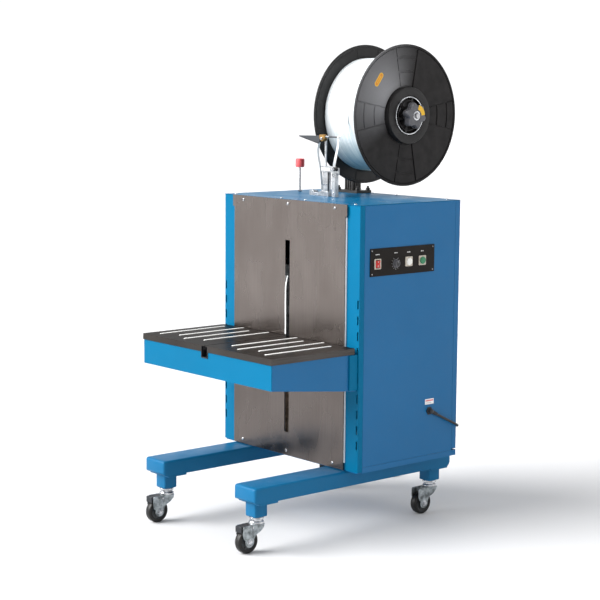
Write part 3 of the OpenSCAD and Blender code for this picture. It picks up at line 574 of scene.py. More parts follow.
def mirror(side, near, far):
    """A stretch on the left (side -1) or the right (side 1) of zero, lowest value first."""
    return sorted((side * near, side * far))


def arc(radius, start, end, steps, middle=(0, 0)):
    """Points of an arc, from start to end in degrees."""
    angles = [math.radians(start + (end - start) * k / (steps - 1)) for k in range(steps)]
    return [(middle[0] + radius * math.cos(a), middle[1] + radius * math.sin(a)) for a in angles]


def round_box(width, height, radius, steps=4):
    """Outline of a rectangle with round corners."""
    x, y = width / 2 - radius, height / 2 - radius
    return [point for turn, middle in ((0, (x, y)), (90, (-x, y)), (180, (-x, -y)), (270, (x, -y)))
            for point in arc(radius, turn, turn + 90, steps, middle)]


def mirrored(profile):
    """A profile of (radius, height) points followed by its mirror image below height 0."""
    return list(profile) + [(radius, -height) for radius, height in reversed(profile)]


# ---- Reel ----

# Radii where the flange's panels begin and end.
PANEL_IN, PANEL_OUT = 99, 226.5


def edge_angle(radius, extra):
    """Angle from the middle of a narrow panel to its edge, whose half width grows with the radius."""
    return math.degrees(math.asin((8 + 0.18 * radius + extra) / radius))


def panel(start, end, inner, outer, start_gap, end_gap, start_way, end_way, steps=12):
    """Outline of a panel between two straight edges that run outward beside the directions start and end."""
    def edges(radius):
        first = start + start_way * edge_angle(radius, start_gap)
        return first, end + end_way * edge_angle(radius, end_gap)

    return arc(outer, *edges(outer), steps) + arc(inner, *reversed(edges(inner)), steps)


def flange_panels(form, low, high, wide_high):
    """Four narrow panels in three parts, and four wide ones between them, with a groove on each side."""
    groove = 3.5 / 2
    for quarter in (0, 90, 180, 270):
        for inner, outer in ((PANEL_IN, 143), (151, 190), (198, PANEL_OUT)):
            form.prism(panel(quarter, quarter, inner, outer, -groove, -groove, -1, 1), low, high)
        # At rest, the two wide panels at the rear stand further from the lower and the upper narrow one.
        start_gap = groove + (3.0 if quarter == 270 else 0.0)
        end_gap = groove + (4.0 if quarter == 0 else 0.0)
        wide = panel(quarter, quarter + 90, PANEL_IN, PANEL_OUT, start_gap, end_gap, 1, -1, 30)
        form.prism(wide, low, wide_high)


def add_reel():
    near = Form(REEL)
    near.turned([(20, 95.1), (229, 95.1), (232, 95.0), (235.2, 95.6), (236.7, 97.4), (236.9, 99.2),
                 (235.6, 100.6), (232.8, 101), (230, 100.6), (228.6, 99.2), (228, 96.4), (20, 96.4)],
                180, loop=True)
    flange_panels(near, 96, 98.8, 99.5)
    near.turned([(84, 96), (96, 96), (95.4, 98.5), (95, 102), (95, 116.5), (93.6, 118.6), (91, 119),
                 (69, 119), (66.5, 118.2), (66, 116.5), (66.5, 114.6), (84, 114.2)], 120, 1, loop=True)
    near.turned([(20.2, 96), (30, 96), (30, 119.8), (29, 121), (21, 121), (20.2, 120)], 64, 1, loop=True)
    for k in range(6):
        near.box((28, -4.5, 108), (69, 4.5, 115), 1, REEL @ turned_by(60 * k + 15))
    # A round rib across the spokes, halfway from the boss to the tube.
    near.turned([(48, 108), (51, 108), (51, 114.6), (48, 114.6)], 80, 1, loop=True)
    near.build("reel_flange_near_moulding", "reel_near reel_black", "reel", "reel_plastic",
               ["reel_flange_near"], 0.0005)

    ring = Form(REEL)
    ring.turned([(60 + 1.9 * (1 + math.cos(a)), 117.6 + 1.5 * math.sin(a))
                 for a in (math.tau * k / 10 for k in range(10))], 96, loop=True)
    ring.build("reel_hub_ring", "chrome", "reel", "machined_steel")

    far = Form(REEL)
    far.turned([(20, -96.2), (229, -96.2), (231.5, -95.2), (234.5, -95.1), (236.4, -96.6), (237, -98.6),
                (236.2, -100.6), (234, -101.9), (231, -101.8), (229, -100), (228.4, -98.4), (20, -98.4)],
               180, loop=True)
    flange_panels(far, -96.6, -95.2, -95.2)
    far.turned([(60, -98), (60, -100.9), (93, -100.9), (95, -99.6), (95, -98)], 96, loop=True)
    for k in range(16):
        far.box((94, -1.4, -101), (229, 1.4, -98.2), place=REEL @ turned_by(22.5 * k))
    for inner, outer in ((140, 142.6), (186, 188.6)):
        far.turned([(inner, -98.2), (inner, -100.6), (outer, -100.6), (outer, -98.2)], 160, loop=True)
    far.build("reel_flange_far_moulding", "reel_black", "reel", "reel_plastic", ["reel_flange_far"], 0.0004)


def add_strap_coil():
    """Wound strap: one low ridge for each lap of strap, with uneven heights."""
    laps, side, inner, outer = 21, 94.4, 100.2, 190.9
    profile = [(inner, side)]
    for lap in range(laps):
        lift = 0.55 * math.sin(lap * 12.99) + 0.35 * math.sin(lap * 4.1 + 1)
        for share, drop in ((0.03, 0.7), (0.12, 0.05), (0.5, 0.0), (0.88, 0.05), (0.97, 0.7)):
            profile.append((outer + lift - drop, side - 2 * side / laps * (lap + share)))
    profile.append((inner, -side))
    form = Form(REEL)
    form.turned(profile, 240, loop=True,
                lobe=lambda a: 1 + 0.0012 * math.sin(7 * a) + 0.0008 * math.sin(17 * a + 2))
    form.build("strap_coil_wound", "strap_coil", "reel", "strap_plastic", ["strap_coil"], sharp=60)


def add_reel_knob():
    # Radius, height, and how much of the six lobes each ring has.
    profile = [(30, 125, 0), (33, 125.4, 0.3), (36.6, 126.4, 1), (38.4, 128.5, 1), (38.6, 146, 1),
               (38, 149.6, 1), (36.2, 152, 1), (33.6, 153, 1), (24, 153, 0.4), (18.4, 153, 0),
               (17.4, 152.4, 0), (17, 150.8, 0), (10.6, 150.8, 0), (10.6, 125, 0)]
    rings = []
    for radius, height, share in profile:
        ring = []
        for a in (math.tau * k / 96 for k in range(96)):
            scale = 1 + share * 0.165 * math.cos(6 * (a - math.radians(45)))
            ring.append((radius * scale * math.cos(a), radius * scale * math.sin(a), height))
        rings.append(ring)
    form = Form(REEL)
    form.shell(rings, loop=True)
    form.build("reel_knob_lobed", "knob", "reel", "knob_grey", ["reel_knob"], sharp=50)

    label = Form(REEL)
    label.prism(arc(36.5, 4, 76, 20) + arc(20.5, 78, 2, 20), 153, 153.25)
    label.build("reel_knob_label", "label_yellow", "reel", "strip_plastic")

    washer = Form(REEL)
    washer.turned([(10.8, 150.9), (15.6, 150.9), (15.9, 151.3), (15.6, 152.1), (10.8, 152.1)], 48, loop=True)
    washer.build("reel_knob_washer", "chrome", "cabinet", "machined_steel")

    sticker = Form(REEL @ Matrix.Translation((-125.5, 118.5, 0)) @ turned_by(53))
    sticker.prism(round_box(52, 18, 8.6, 7), 99.4, 99.75)
    sticker.prism(round_box(45, 11, 5.2, 7), 99.6, 99.9, 1)
    sticker.prism(round_box(30, 3.2, 1.4, 4), 99.8, 99.98, 2)
    sticker.build("reel_flange_sticker", "label_yellow label_orange label_yellow", "reel", "strip_plastic")


# ---- Casters ----

# The stems' places, the axles' height and how far each axle stands in front of its stem.
LEG_X = 236
STEM_Y = {"front": -327, "rear": 428}
CASTERS = {end + "_" + side: (way * LEG_X, y) for end, y in STEM_Y.items()
           for side, way in (("left", -1), ("right", 1))}
AXLE_Z, TRAIL = 38, 40


def add_wheel(corner, x, y):
    form = Form(at(x, y - TRAIL, AXLE_Z, ALONG_X))
    form.turned(mirrored([(26.2, 8.4), (26.6, 11.6), (28.6, 12.6), (33.4, 12.7), (35.6, 11.6), (37.2, 9.2),
                          (37.8, 6), (38, 3)]), 96, loop=True)
    form.turned(mirrored([(4.15, 12.8), (9.6, 12.8), (11.8, 11.4), (12.6, 7.6), (23.6, 6.6), (25, 9.6),
                          (26.4, 9.8)]), 64, 1, loop=True)
    for side in (-1, 1):
        low, high = mirror(side, 6, 9.4)
        for k in range(6):
            form.box((11.8, -1.5, low), (25, 1.5, high), 1, form.place @ turned_by(60 * k))
    form.build("caster_tyre_" + corner, "tyre hub", "wheel_" + corner, "wheel_rubber",
               ["caster_wheel_" + corner], 0.0003)


def add_fork(corner, x, y):
    form = Form(at(x, y, 0))
    sideways, axle = at(x, y, 0, ALONG_X), at(x, y - TRAIL, AXLE_Z, ALONG_X)
    middle = (-TRAIL, AXLE_Z)
    cheek = [(18, 86), (15, 90), (-62, 90), (-66, 86), (-66, 62), (-63, 50)]
    cheek += arc(17, 160, 375, 16, middle) + [(-17, 56), (4, 66), (17, 78)]
    for side in (-1, 1):
        form.prism(cheek, *mirror(side, 15.6, 18), place=sideways)
        # Stiffening bead pressed into the cheek.
        form.prism(arc(11.5, 0, 360, 25, middle)[:-1], *mirror(side, 17.6, 19.2), place=sideways)
    form.prism(arc(27, -55, 55, 12, (-3, 0)) + [(-18, 22), (-18, -22)], 86.8, 90,
               place=at(x, y - 2, 0, turned_by(-90)))
    form.box((-18, -22, 86.9), (18, 18, 90.1))
    # Ball race: a pressed cup below, the bearing gap and the cup above it.
    form.turned([(8, 88.5), (21, 88.8), (24, 90.4), (24.6, 93.2), (23.8, 96), (21, 98.4), (18.6, 99.2),
                 (8, 99.2)], 48, 1)
    form.peg(18.2, 99, 102.4, 48, 1, middle=8)
    form.turned([(8, 102.2), (20.6, 102.6), (23.6, 104.4), (24, 107.6), (23, 110.6), (20.6, 111.6),
                 (8, 111.6)], 48, 1)
    form.peg(7.9, 111.5, 131, 24, 1)
    form.turned([(0.5, 86.6), (7, 86.6), (9, 84.8), (8.4, 82.6), (0.5, 82)], 24, 1)
    form.turned([(0.5, -24.5), (4, -24.5), (4, 24.6), (3.2, 25.4), (0.5, 25.4)], 20, 1, place=axle)
    for side in (-1, 1):
        form.peg(9.4, *mirror(side, 18, 19.6), 32, 1, axle, 0.6)
        low, high = mirror(side, 19.6, 24)
        form.turned([(0.6, low), (7.2, low), (7.6, (low + high) / 2), (7.2, high), (0.6, high)], 6, 1,
                    place=axle)
    if corner.startswith("front"):
        form.turned([(0.5, -20.4), (3.4, -20.2), (3.6, -18.4), (2.45, -18.2), (2.45, 18.2), (3.6, 18.4),
                     (3.4, 20.2), (0.5, 20.4)], 16, 1, place=at(x, y - 28, 82, ALONG_X))
    form.build("caster_yoke_" + corner, "fork_zinc chrome", "caster_" + corner, "caster_zinc",
               ["caster_fork_" + corner], 0.0005)


def add_brake(side, x):
    y = STEM_Y["front"]
    form, sideways = Form(at(x, y, 0)), at(x, y, 0, ALONG_X)
    form.prism([(-71, 70), (-71, 87.4), (-69, 89.2), (-25.5, 89.2), (-25.5, 87.4), (-67.6, 87.2), (-69, 86),
                (-69, 70)], -14.9, 14.9, place=sideways)
    for way in (-1, 1):
        form.prism([(-36, 88), (-23.6, 88), (-23.6, 78.6), (-26, 77), (-31, 77), (-36, 82)],
                   *mirror(way, 13.2, 15), place=sideways)
    for k in range(4):
        form.box((-11, -64 + 6 * k, 89), (11, -61.4 + 6 * k, 89.9))
    form.build("brake_pedal_" + side, "lever", "brake_lever_" + side, "lever_steel", ["brake_lever_" + side],
               0.0005)


# ---- Screws ----


def pan_head(form, place, radius, height):
    """A domed screw head with a cross recess."""
    arm, half = radius * 0.55, radius * 0.14

    turns = [math.tau * (k + 0.5) / 40 for k in range(40)]
    rim, cross = [radius] * len(turns), []
    for a in turns:
        c, s = abs(math.cos(a)) + 1e-9, abs(math.sin(a)) + 1e-9
        cross.append(max(min(arm / c, half / s), min(arm / s, half / c)))
    rings = []
    for edge, share, rise in ((rim, 0.98, 0), (rim, 1, 0.25), (rim, 0.94, 0.6), (rim, 0.8, 0.88),
                              (rim, 0.62, 1), (cross, 1, 1), (cross, 0.8, 0.45)):
        rings.append([(r * share * math.cos(a), r * share * math.sin(a), height * rise)
                      for r, a in zip(edge, turns)])
    form.shell(rings, place=place)


def add_cover_screws():
    form = Form(MM)
    for x in (-230, 0, 230):
        for z in (232, 1051):
            pan_head(form, at(x, -8, z, TOWARD_FRONT), 5.5, 3)
    for x in (-300, -60, 60, 300):
        for y in (16, 425):
            pan_head(form, at(x, y, 1065), 5, 2.5)
    for x in (-318, 318):
        for z in (300, 660, 1000):
            pan_head(form, at(x, 445, z, ALONG_Y), 5, 2.5)
    form.build("cover_screw_heads", "chrome", "cabinet", "screw_steel", ["cover_screws"])


# ---- Controls ----

# The panel's face, each control's depth, and the controls' and the dial's height.
PANEL_X = 342.5
ROCKER_Y, DIAL_Y, WHITE_Y, GREEN_Y = 73, 153, 209.5, 270
CONTROL_Z, DIAL_Z = 878, 875
# The right side cover's face, and its label.
SIDE_X, LABEL_Y, LABEL_Z = 340, 317, 409


def bezel(name, y, width, height, corner, hole, inset):
    """A square frame round a control; the hole is a radius or an outline."""
    outer, high = round_box(width, height, corner, 6), 3
    if not isinstance(hole, list):
        hole = [(hole * math.cos(a), hole * math.sin(a)) for a in (math.atan2(y, x) for x, y in outer)]
    small = [(x * (1 - 1.6 / width), y * (1 - 1.6 / height)) for x, y in outer]
    form = Form(at(PANEL_X, y, CONTROL_Z, ALONG_X))
    levels = ((outer, 0), (outer, high - 0.8), (small, high), (hole, high - inset), (hole, 0))
    form.shell([[(x, y, z) for x, y in outline] for outline, z in levels], loop=True)
    form.build("bezel_" + name, "bezel", "cabinet", "bezel_plastic", ["control_bezels"])


def add_buttons():
    for name, y in (("white", WHITE_Y), ("green", GREEN_Y)):
        bezel(name, y, 31, 31, 3, 11.8, 0.6)
        button = Form(at(PANEL_X, y, CONTROL_Z, ALONG_X))
        button.turned([(0.4, -1), (11.5, -1), (11.5, 5.4), (10.9, 6.5), (10.2, 6.8), (9.7, 6.4), (9.2, 6.2),
                       (6.5, 6.7), (3, 6.95), (0.4, 7)], 48)
        button.peg(6, -16.5, -0.8, 24, middle=0.4)
        button.build(name + "_button_domed", name, name + "_button", name + "_plastic", [name + "_button"])


def add_rocker():
    bezel("rocker", ROCKER_Y, 28, 33, 2.5, round_box(19, 26, 1.2, 6), 0.5)
    rocker = Form(at(PANEL_X, ROCKER_Y, CONTROL_Z))
    outline = [(-8, 10), (-8, -10), (5.3, -11), (5.5, -10.4)]
    outline += [(5.5 - 2.1 * (1 - (k / 5) ** 2), 10.4 * k / 5) for k in range(-4, 5)]
    outline += [(5.5, 10.4), (5.3, 11)]
    rocker.shell([[(x, y, z) for x, z in outline] for y in (-8.5, -8.2, 8.2, 8.5)])
    rocker.build("power_rocker_curved", "red", "power_rocker", "red_plastic", ["power_rocker"], 0.0005)

    signs = Form(at(PANEL_X, ROCKER_Y, CONTROL_Z))
    signs.box((4.4, -0.6, 5), (5.15, 0.6, 9.2))
    signs.turned([(1.5, 4.2), (2.3, 4.2), (2.3, 5.0), (1.5, 5.0)], 24, loop=True,
                 place=at(PANEL_X, ROCKER_Y, CONTROL_Z - 7, ALONG_X))
    signs.build("power_rocker_signs", "mark", "power_rocker", "white_plastic")


def add_dial():
    dial = Form(at(PANEL_X, DIAL_Y, DIAL_Z, ALONG_X))
    dial.turned([(0.5, 0.4), (14, 0.4), (14, 2.2), (13.2, 3), (11, 3.2), (0.5, 3.2)], 64)
    dial.turned([(0.5, 3), (10.6, 3), (10.5, 9.4), (9.8, 10.6), (8.8, 11), (0.5, 11)], 96,
                lobe=lambda a: 1 + 0.025 * math.cos(24 * a))
    dial.turned([(0.5, 10.8), (7.4, 10.8), (7.2, 11.25), (0.5, 11.25)], 48, 1)
    dial.box((-0.7, 2, 11), (0.7, 9.6, 11.4), 2)
    dial.box((-0.6, 9.6, 2.8), (0.6, 13.6, 3.35), 2)
    dial.peg(3.95, -14.5, 1, 20)
    dial.build("feed_dial_knurled", "knob dial label_grey", "feed_dial", "dial_plastic", ["feed_dial"])


def add_panel_marks():
    """Plain ticks round the dial, and rows of blank marks in the place of words."""
    marks = Form(at(PANEL_X, DIAL_Y, DIAL_Z, ALONG_X))
    for k in range(11):
        turn = marks.place @ turned_by(-240 + 30 * k)
        marks.box((16.4, -0.45, 0), (18.8 + (k % 5 == 0), 0.45, 0.25), place=turn)
    gap = 1.6
    for y, z, widths in ((ROCKER_Y, 908, (5, 6, 3)), (DIAL_Y, 909, (7, 5)), (WHITE_Y, 908, (5, 7)),
                         (GREEN_Y, 908, (6, 4))):
        left = -(sum(widths) + gap * (len(widths) - 1)) / 2
        for width in widths:
            marks.box((left, -1.4, 0), (left + width, 1.4, 0.22), place=at(PANEL_X, y, z, ALONG_X))
            left += width + gap
    marks.build("panel_marks", "mark", "cabinet", "white_plastic")

    screws = Form(MM)
    for y in (50, 318):
        for z in (846, 920):
            pan_head(screws, at(PANEL_X, y, z, ALONG_X), 2.3, 1.2)
    screws.build("panel_screws", "machined", "cabinet", "screw_steel")

    label = Form(at(SIDE_X, LABEL_Y, LABEL_Z, ALONG_X))
    label.prism(round_box(40, 18, 1.2, 4), 0, 0.35)
    label.prism(round_box(35, 5, 0.6, 3), 0.3, 0.5, 1, at(SIDE_X, LABEL_Y, LABEL_Z + 3.5, ALONG_X))
    label.prism(round_box(24, 1.6, 0.4, 3), 0.3, 0.5, 2, at(SIDE_X, LABEL_Y - 3, LABEL_Z - 4, ALONG_X))
    label.build("cord_outlet_label", "label_white label_pink label_grey", "cabinet", "strip_plastic")


# ---- Strap guide ----

# The guide's depth, and the arm's pivot and the roller's axle in X and Z.
GUIDE_Y, PIVOT, ROLLER = 190, (-46, 1258), (15, 1158)


def spring(steps, length):
    """A helix of radius 1 with twelve steps to each turn."""
    return [(math.cos(math.tau * k / 12), math.sin(math.tau * k / 12), length * k / steps)
            for k in range(steps + 1)]


def guide_axis(spot):
    return at(spot[0], GUIDE_Y, spot[1], ALONG_Y)


def add_guide_arm():
    arm = Form(DESIGN)
    arm.upright([(-166, 1265), (-166, 1261.5), (-70, 1240), (-60, 1248), (-60, 1267)], 180, 182.4)
    # Folded lip along the lower edge.
    arm.upright([(-164, 1263), (-164, 1261.2), (-70, 1240), (-70, 1242.4)], 180, 186)
    arm.tube([(-33, 182, 1264), (29, 182, 1264)], 2.4, 16)
    arm.tube([(-30 + across, 182 + 3.2 * y, 1264 + 3.2 * z) for z, y, across in spring(96, 16)], 0.65, 6, 1)
    arm.turned([(0.4, -5), (2.4, -4.6), (4.4, -3), (4.9, -1), (4.9, 1), (4.4, 3), (2.4, 4.6), (0.4, 5)],
               32, 2, place=at(32, 182, 1264, ALONG_Y))
    arm.build("guide_arm_pressed", "arm chrome white", "guide_arm", "arm_paint", ["guide_arm"], 0.0003)

    hub = Form(guide_axis(PIVOT))
    hub.prism([(z + 1263.5, x + PIVOT[0]) for x, z in round_box(28, 14.6, 2.5)], 178, 186, place=FRONTAL)
    hub.turned([(3.1, -13), (8.8, -13), (10, -12), (10, 2.6), (9.2, 3.5), (3.1, 3.5)], 40, loop=True)
    hub.turned([(0.4, -17), (4.6, -17), (5.2, -16), (5.2, -13.2), (0.4, -13.2)], 6, 1)
    hub.build("arm_hub_brass", "brass chrome", "guide_arm", "brass", ["arm_hub"], 0.0005)

    roller = Form(guide_axis(ROLLER))
    roller.turned([(3.1, -13), (6.4, -13), (7, -12.2), (7, -10.8), (5.7, -9.4), (5.7, -3.2), (7, -1.8),
                   (7, -0.2), (6.4, 0.5), (3.1, 0.5)], 40, loop=True)
    roller.build("guide_roller_grooved", "roller", "guide_roller", "roller_rubber", ["guide_roller"])

    fixings = Form(guide_axis(ROLLER))
    fixings.turned([(0.4, -17), (4.4, -17), (5, -16), (5, -14), (0.4, -14)], 6)
    for x, y, z, radius in ((-52, 194, 1105, 3.4), (-38, 194, 1105, 3.4), (-8, 188, 1156, 3.2),
                            (-60, 188, 1156, 2.6), (10, 181, 1134, 2.6), (10, 181, 1078, 2.6)):
        pan_head(fixings, at(x, y, z, TOWARD_FRONT), radius, 2)
    for x in (-112, -64):
        pan_head(fixings, at(x, 200, 1081), 4.4, 2.6)
    fixings.build("strap_guide_fixings", "chrome", "cabinet", "screw_steel")

    # The grey insert that the strap runs through.
    insert = Form(DESIGN)
    insert.box((-57.5, 186, 1151.4), (-12.5, 199.5, 1160.6))
    insert.build("guide_head_insert", "strip", "cabinet", "zinc")


def add_bracket():
    bracket = Form(DESIGN)
    bracket.upright([(-121, 1065), (-26, 1065), (-26, 1081), (-70, 1081), (-70, 1075.5), (-100, 1075.5),
                     (-100, 1081), (-121, 1081)], 190, 210)
    bracket.upright([(-58, 1079), (-30, 1079), (-30, 1147), (-58, 1147)], 194, 198)
    bracket.upright([(-50, 1164), (-42, 1164)] + arc(7, -55, 235, 20, PIVOT), 194, 198)
    for (x, z), high in ((ROLLER, 192), (PIVOT, 195)):
        bracket.peg(3, 176, high, 24, 1, at(x, 0, z, ALONG_Y), 0.4)
    head = (((-62, 188, 1146), (-58, 206, 1166)), ((-12, 188, 1146), (-4, 206, 1166)),
            ((-58, 188, 1146), (-12, 206, 1151)), ((-58, 188, 1161), (-12, 206, 1166)),
            ((-58, 200, 1151), (-12, 206, 1161)), ((-6, 191, 1138), (24, 196, 1162)))
    # A square tube with a step in its front wall.
    chute = (((1, 181, 1065), (3.5, 196, 1145)), ((16.5, 181, 1065), (19, 196, 1145)),
             ((3.5, 181, 1065), (16.5, 183, 1136)), ((3.5, 193.6, 1065), (16.5, 196, 1145)),
             ((3.5, 181, 1136), (5, 190, 1145)), ((15, 181, 1136), (16.5, 190, 1145)))
    for low, high in (((-34, 194, 1079), (-30, 206, 1147)), *head, *chute):
        bracket.box(low, high)
    bracket.build("strap_bracket_parts", "zinc machined", "cabinet", "zinc", ["strap_bracket"], 0.0005)


def add_tension_knob():
    knob = Form(at(-275, 279, 0))
    knob.turned([(0.5, 1150), (13.4, 1150), (15.2, 1151.4), (15.4, 1153), (15.4, 1176.5), (14.6, 1179),
                 (12.6, 1180), (0.5, 1180)], 120, lobe=lambda a: 1 + 0.012 * math.cos(30 * a))
    knob.tube([(0, 0, 1036), (0, 0, 1151)], 2.6, 16, 1)
    knob.tube([(3.6 * x, 3.6 * y, 1072 + up) for x, y, up in spring(264, 76)], 0.6, 6, 1)
    knob.turned([(2.4, 1066), (7, 1066), (7.4, 1067.5), (7, 1071), (2.4, 1071)], 6, 1, loop=True)
    knob.build("tension_knob_capped", "cap_red machined", "tension_knob", "red_plastic", ["tension_knob"])


# ---- Strap ----

STRAP_WIDTH, STRAP_THICK = 9, 0.8


def smooth_path(points, steps):
    """Catmull-Rom curve through the points."""
    points = [Vector(p) for p in points]
    path = []
    for a, b, c, d in zip(points[:1] + points[:-2], points[:-1], points[1:], points[2:] + points[-1:]):
        for t in (k / steps for k in range(steps)):
            path.append(0.5 * (2 * b + (c - a) * t + (2 * a - 5 * b + 4 * c - d) * t * t
                               + (3 * b - a - 3 * c + d) * t ** 3))
    return path + [points[-1]]


def strap_piece(name, points, first, last, nodes=(), bend=None):
    """A run of strap whose width turns evenly from first to last; when bend is given, the run is taken off
    its body, and bend's points are not used.
    """
    path = smooth_path(points, 6)
    first, last = Vector(first), Vector(last)
    sides = [first.lerp(last, k / (len(path) - 1)).normalized() for k in range(len(path))]
    form = Form(DESIGN)
    form.ribbon(path, sides, STRAP_WIDTH, STRAP_THICK)
    run = form.build(name, "strap", "cabinet", "strap_plastic", nodes, sharp=60)
    if bend:
        world = run.matrix_world.copy()
        run.parent = None
        run.matrix_world = world
        del run["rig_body"]
        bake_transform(run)


def add_straps():
    strap_piece("guide_strap_right",
                [(30, 184, 1259), (29, 184, 1246), (25, 184, 1226), (18, 184, 1202), (10.5, 185, 1180),
                 (6.5, 186, 1166), (6.2, 187, 1154), (8.5, 187, 1143), (10, 188, 1120), (10, 188.5, 1068)],
                (1, -0.25, 0), (0.1, 1, 0), ["guide_strap"], ((8, 184, 1172), (30, 184, 1256)))
    strap_piece("guide_strap_left",
                [(-76, 194, 1243), (-81, 194, 1230), (-83, 194, 1212), (-80, 194, 1192), (-74, 194, 1172),
                 (-69.5, 195, 1150), (-67.5, 196, 1126), (-65.5, 197, 1104), (-64, 198, 1084)],
                (0, 1, 0), (0, 1, 0), ["guide_strap"])
    strap_piece("strap_lead",
                [(18, 233.4, 1362), (18.5, 231.6, 1336), (20, 228, 1314), (24, 216, 1292), (29, 199, 1275),
                 (32, 188, 1267)], (1, 0, 0), (1, 0.1, 0), (), ((18, 233, 1340), (32, 186, 1266)))

    hanging = smooth_path([(-7, -1.4, 814), (-7, -4.6, 804), (-7, -7, 793), (-7.1, -8.7, 780),
                           (-7.2, -9.3, 767), (-7.3, -9.4, 750), (-7.6, -9.4, 725), (-7.4, -9.4, 700),
                           (-7, -9.4, 675), (-6.8, -9.4, 648), (-7, -9.4, 621)], 3)
    form = Form(DESIGN)
    form.ribbon(hanging, [(0.95, -0.31, 0)] * len(hanging), STRAP_WIDTH, STRAP_THICK)
    tail = form.build("strap_tail_band", "strap", "cabinet", "strap_plastic", ["strap_tail"], sharp=60)


# ---- Power cord ----

# The cord, its coil and its plug are in millimetres of the shared frame.
CORD_ROUTE = [
    (348, 219, 363), (348, 232, 356.5), (349, 254, 345), (351.4, 275, 334.5), (353.8, 296.5, 323.5),
    (351.2, 309.5, 317.5), (343.8, 320.5, 312.5), (332.8, 327.9, 309), (319.8, 330.5, 306.6),
    (305, 330, 305.2), (288, 327, 304), (270, 324, 303), (253, 323, 302), (236, 323, 301),
    (190, 323, 297), (140, 323, 296), (90, 323, 298), (40, 323, 301), (0, 323, 302), (-40, 323, 301),
    (-90, 323, 298), (-140, 323, 296), (-190, 323, 297), (-236, 323, 301), (-255, 323, 302),
    (-274, 323, 301.5), (-292, 323, 298), (-310, 323, 287), (-321, 323, 270), (-325, 323, 248),
    (-325, 323, 200), (-325, 323, 140), (-325, 323, 90), (-325, 324, 60), (-325, 328, 38),
    (-325, 338, 20), (-325.5, 355, 8.4), (-327, 376, 4.6), (-330, 400, 4.6), (-332.8, 425, 4.8),
    (-334, 447, 4.8)
]
CORD_TAIL = [(-272, 496, 10.8), (-258, 500, 7.6), (-246, 506, 5.2), (-236, 513, 4.6), (-228, 520, 4.6)]
COIL_X, COIL_Y = -286, 447
# Radius and height of each turn of the coil in winding order, and the part of the turn where it leaves.
COIL_TURNS = [(48, 4.8, 0.7), (40, 4.9, 0.38), (40, 12.9, 0.38), (40, 20.8, 0.7), (48, 20.8, 0.38),
              (48, 12.8, 0.7), (48, 12.6, 0.7), (48, 12.6, 0.7)]


def coil_path(steps=24):
    """Turns of the coil, clockwise from above; each one eases over to the next one's place."""
    path = []
    for k in range(1, int(6.25 * steps) + 1):
        turn = k / steps
        i = int(turn)
        (radius, height, leave), (next_radius, next_height, _) = COIL_TURNS[i], COIL_TURNS[i + 1]
        ease = min(1, max(0, (turn - i - leave) / 0.3))
        ease = ease * ease * (3 - 2 * ease)
        radius += (next_radius - radius) * ease
        height += (next_height - height) * ease
        angle = math.pi - math.tau * turn
        path.append((COIL_X + radius * math.cos(angle), COIL_Y + radius * math.sin(angle), height))
    return path


def make_tie():
    """A band round the bundle of turns, with its head on top."""
    tie = Form(MM @ Matrix.Translation((COIL_X + 44, COIL_Y, 12.95)))
    wrap = round_box(19.4, 25.7, 3.5)
    inner = [(x * 0.93, y * 0.95) for x, y in wrap]
    edges = ((wrap, -4), (wrap, 4), (inner, 4), (inner, -4))
    tie.shell([[(x, y, z) for x, z in outline] for outline, y in edges], loop=True)
    tie.box((-3, -6, 12.3), (5, 6, 13.4))
    return tie.build("cord_tie", "strap", "cabinet", "cable_rubber", edge=0.0003)


def make_plug():
    """A moulded plug with two slanted blades and an upright one, at the end of the cord's tail."""
    plug = Form(MM @ Matrix.Translation((-228, 520, 0.2)) @ turned_by(45))

    def sleeve(rings):
        plug.shell([[(along, x, z + lift) for x, z in round_box(width, height, corner)]
                    for along, width, height, corner, lift in rings])

    sleeve([(-12, 8.6, 8.2, 3.6, 4.4), (0, 9.6, 8.8, 3.8, 4.6), (10, 12, 10.6, 4, 5.6),
            (13, 22, 18.6, 5, 9.6), (16, 25.6, 21.6, 6, 10.9), (35, 25.6, 21.6, 6, 10.9),
            (37.6, 24.4, 20.4, 5.6, 10.9)])
    for k in range(4):
        sleeve([(start + 4.5 * k, width + 0.5 * k, (width + 0.5 * k) * 0.92, 3.9, 5.2)
                for start, width in ((-10, 9.4), (-8, 9.9))])
    for way in (-1, 1):
        plug.box((0, -3.1, -0.8), (18.4, 3.1, 0.8), 1,
                 plug.place @ Matrix.Translation((36, way * 7, 14)) @ turned_by(30 * way, "X"))
    plug.box((36, -0.8, 3), (54.4, 0.8, 9.2), 1)
    return plug.build("cord_plug_moulded", "cable brass", "cabinet", "cable_rubber", ["cord_plug"], 0.0005)


def add_cord():
    points = [Vector(p) * 0.001 for p in smooth_path(CORD_ROUTE, 2) + coil_path() + CORD_TAIL]
    data = bpy.data.curves.new("power_cord_curve", "CURVE")
    data.dimensions, data.bevel_depth, data.bevel_resolution = "3D", 0.004, 3
    spline = data.splines.new("POLY")
    spline.points.add(len(points) - 1)
    for target, point in zip(spline.points, points):
        target.co = (*point, 1)
    data.materials.append(MATERIALS["cable"])
    cord = add_object("power_cord_flex", data)
    settle(cord, "cabinet", ["power_cord", "cord_coil"])
    band, body = make_tie(), make_plug()


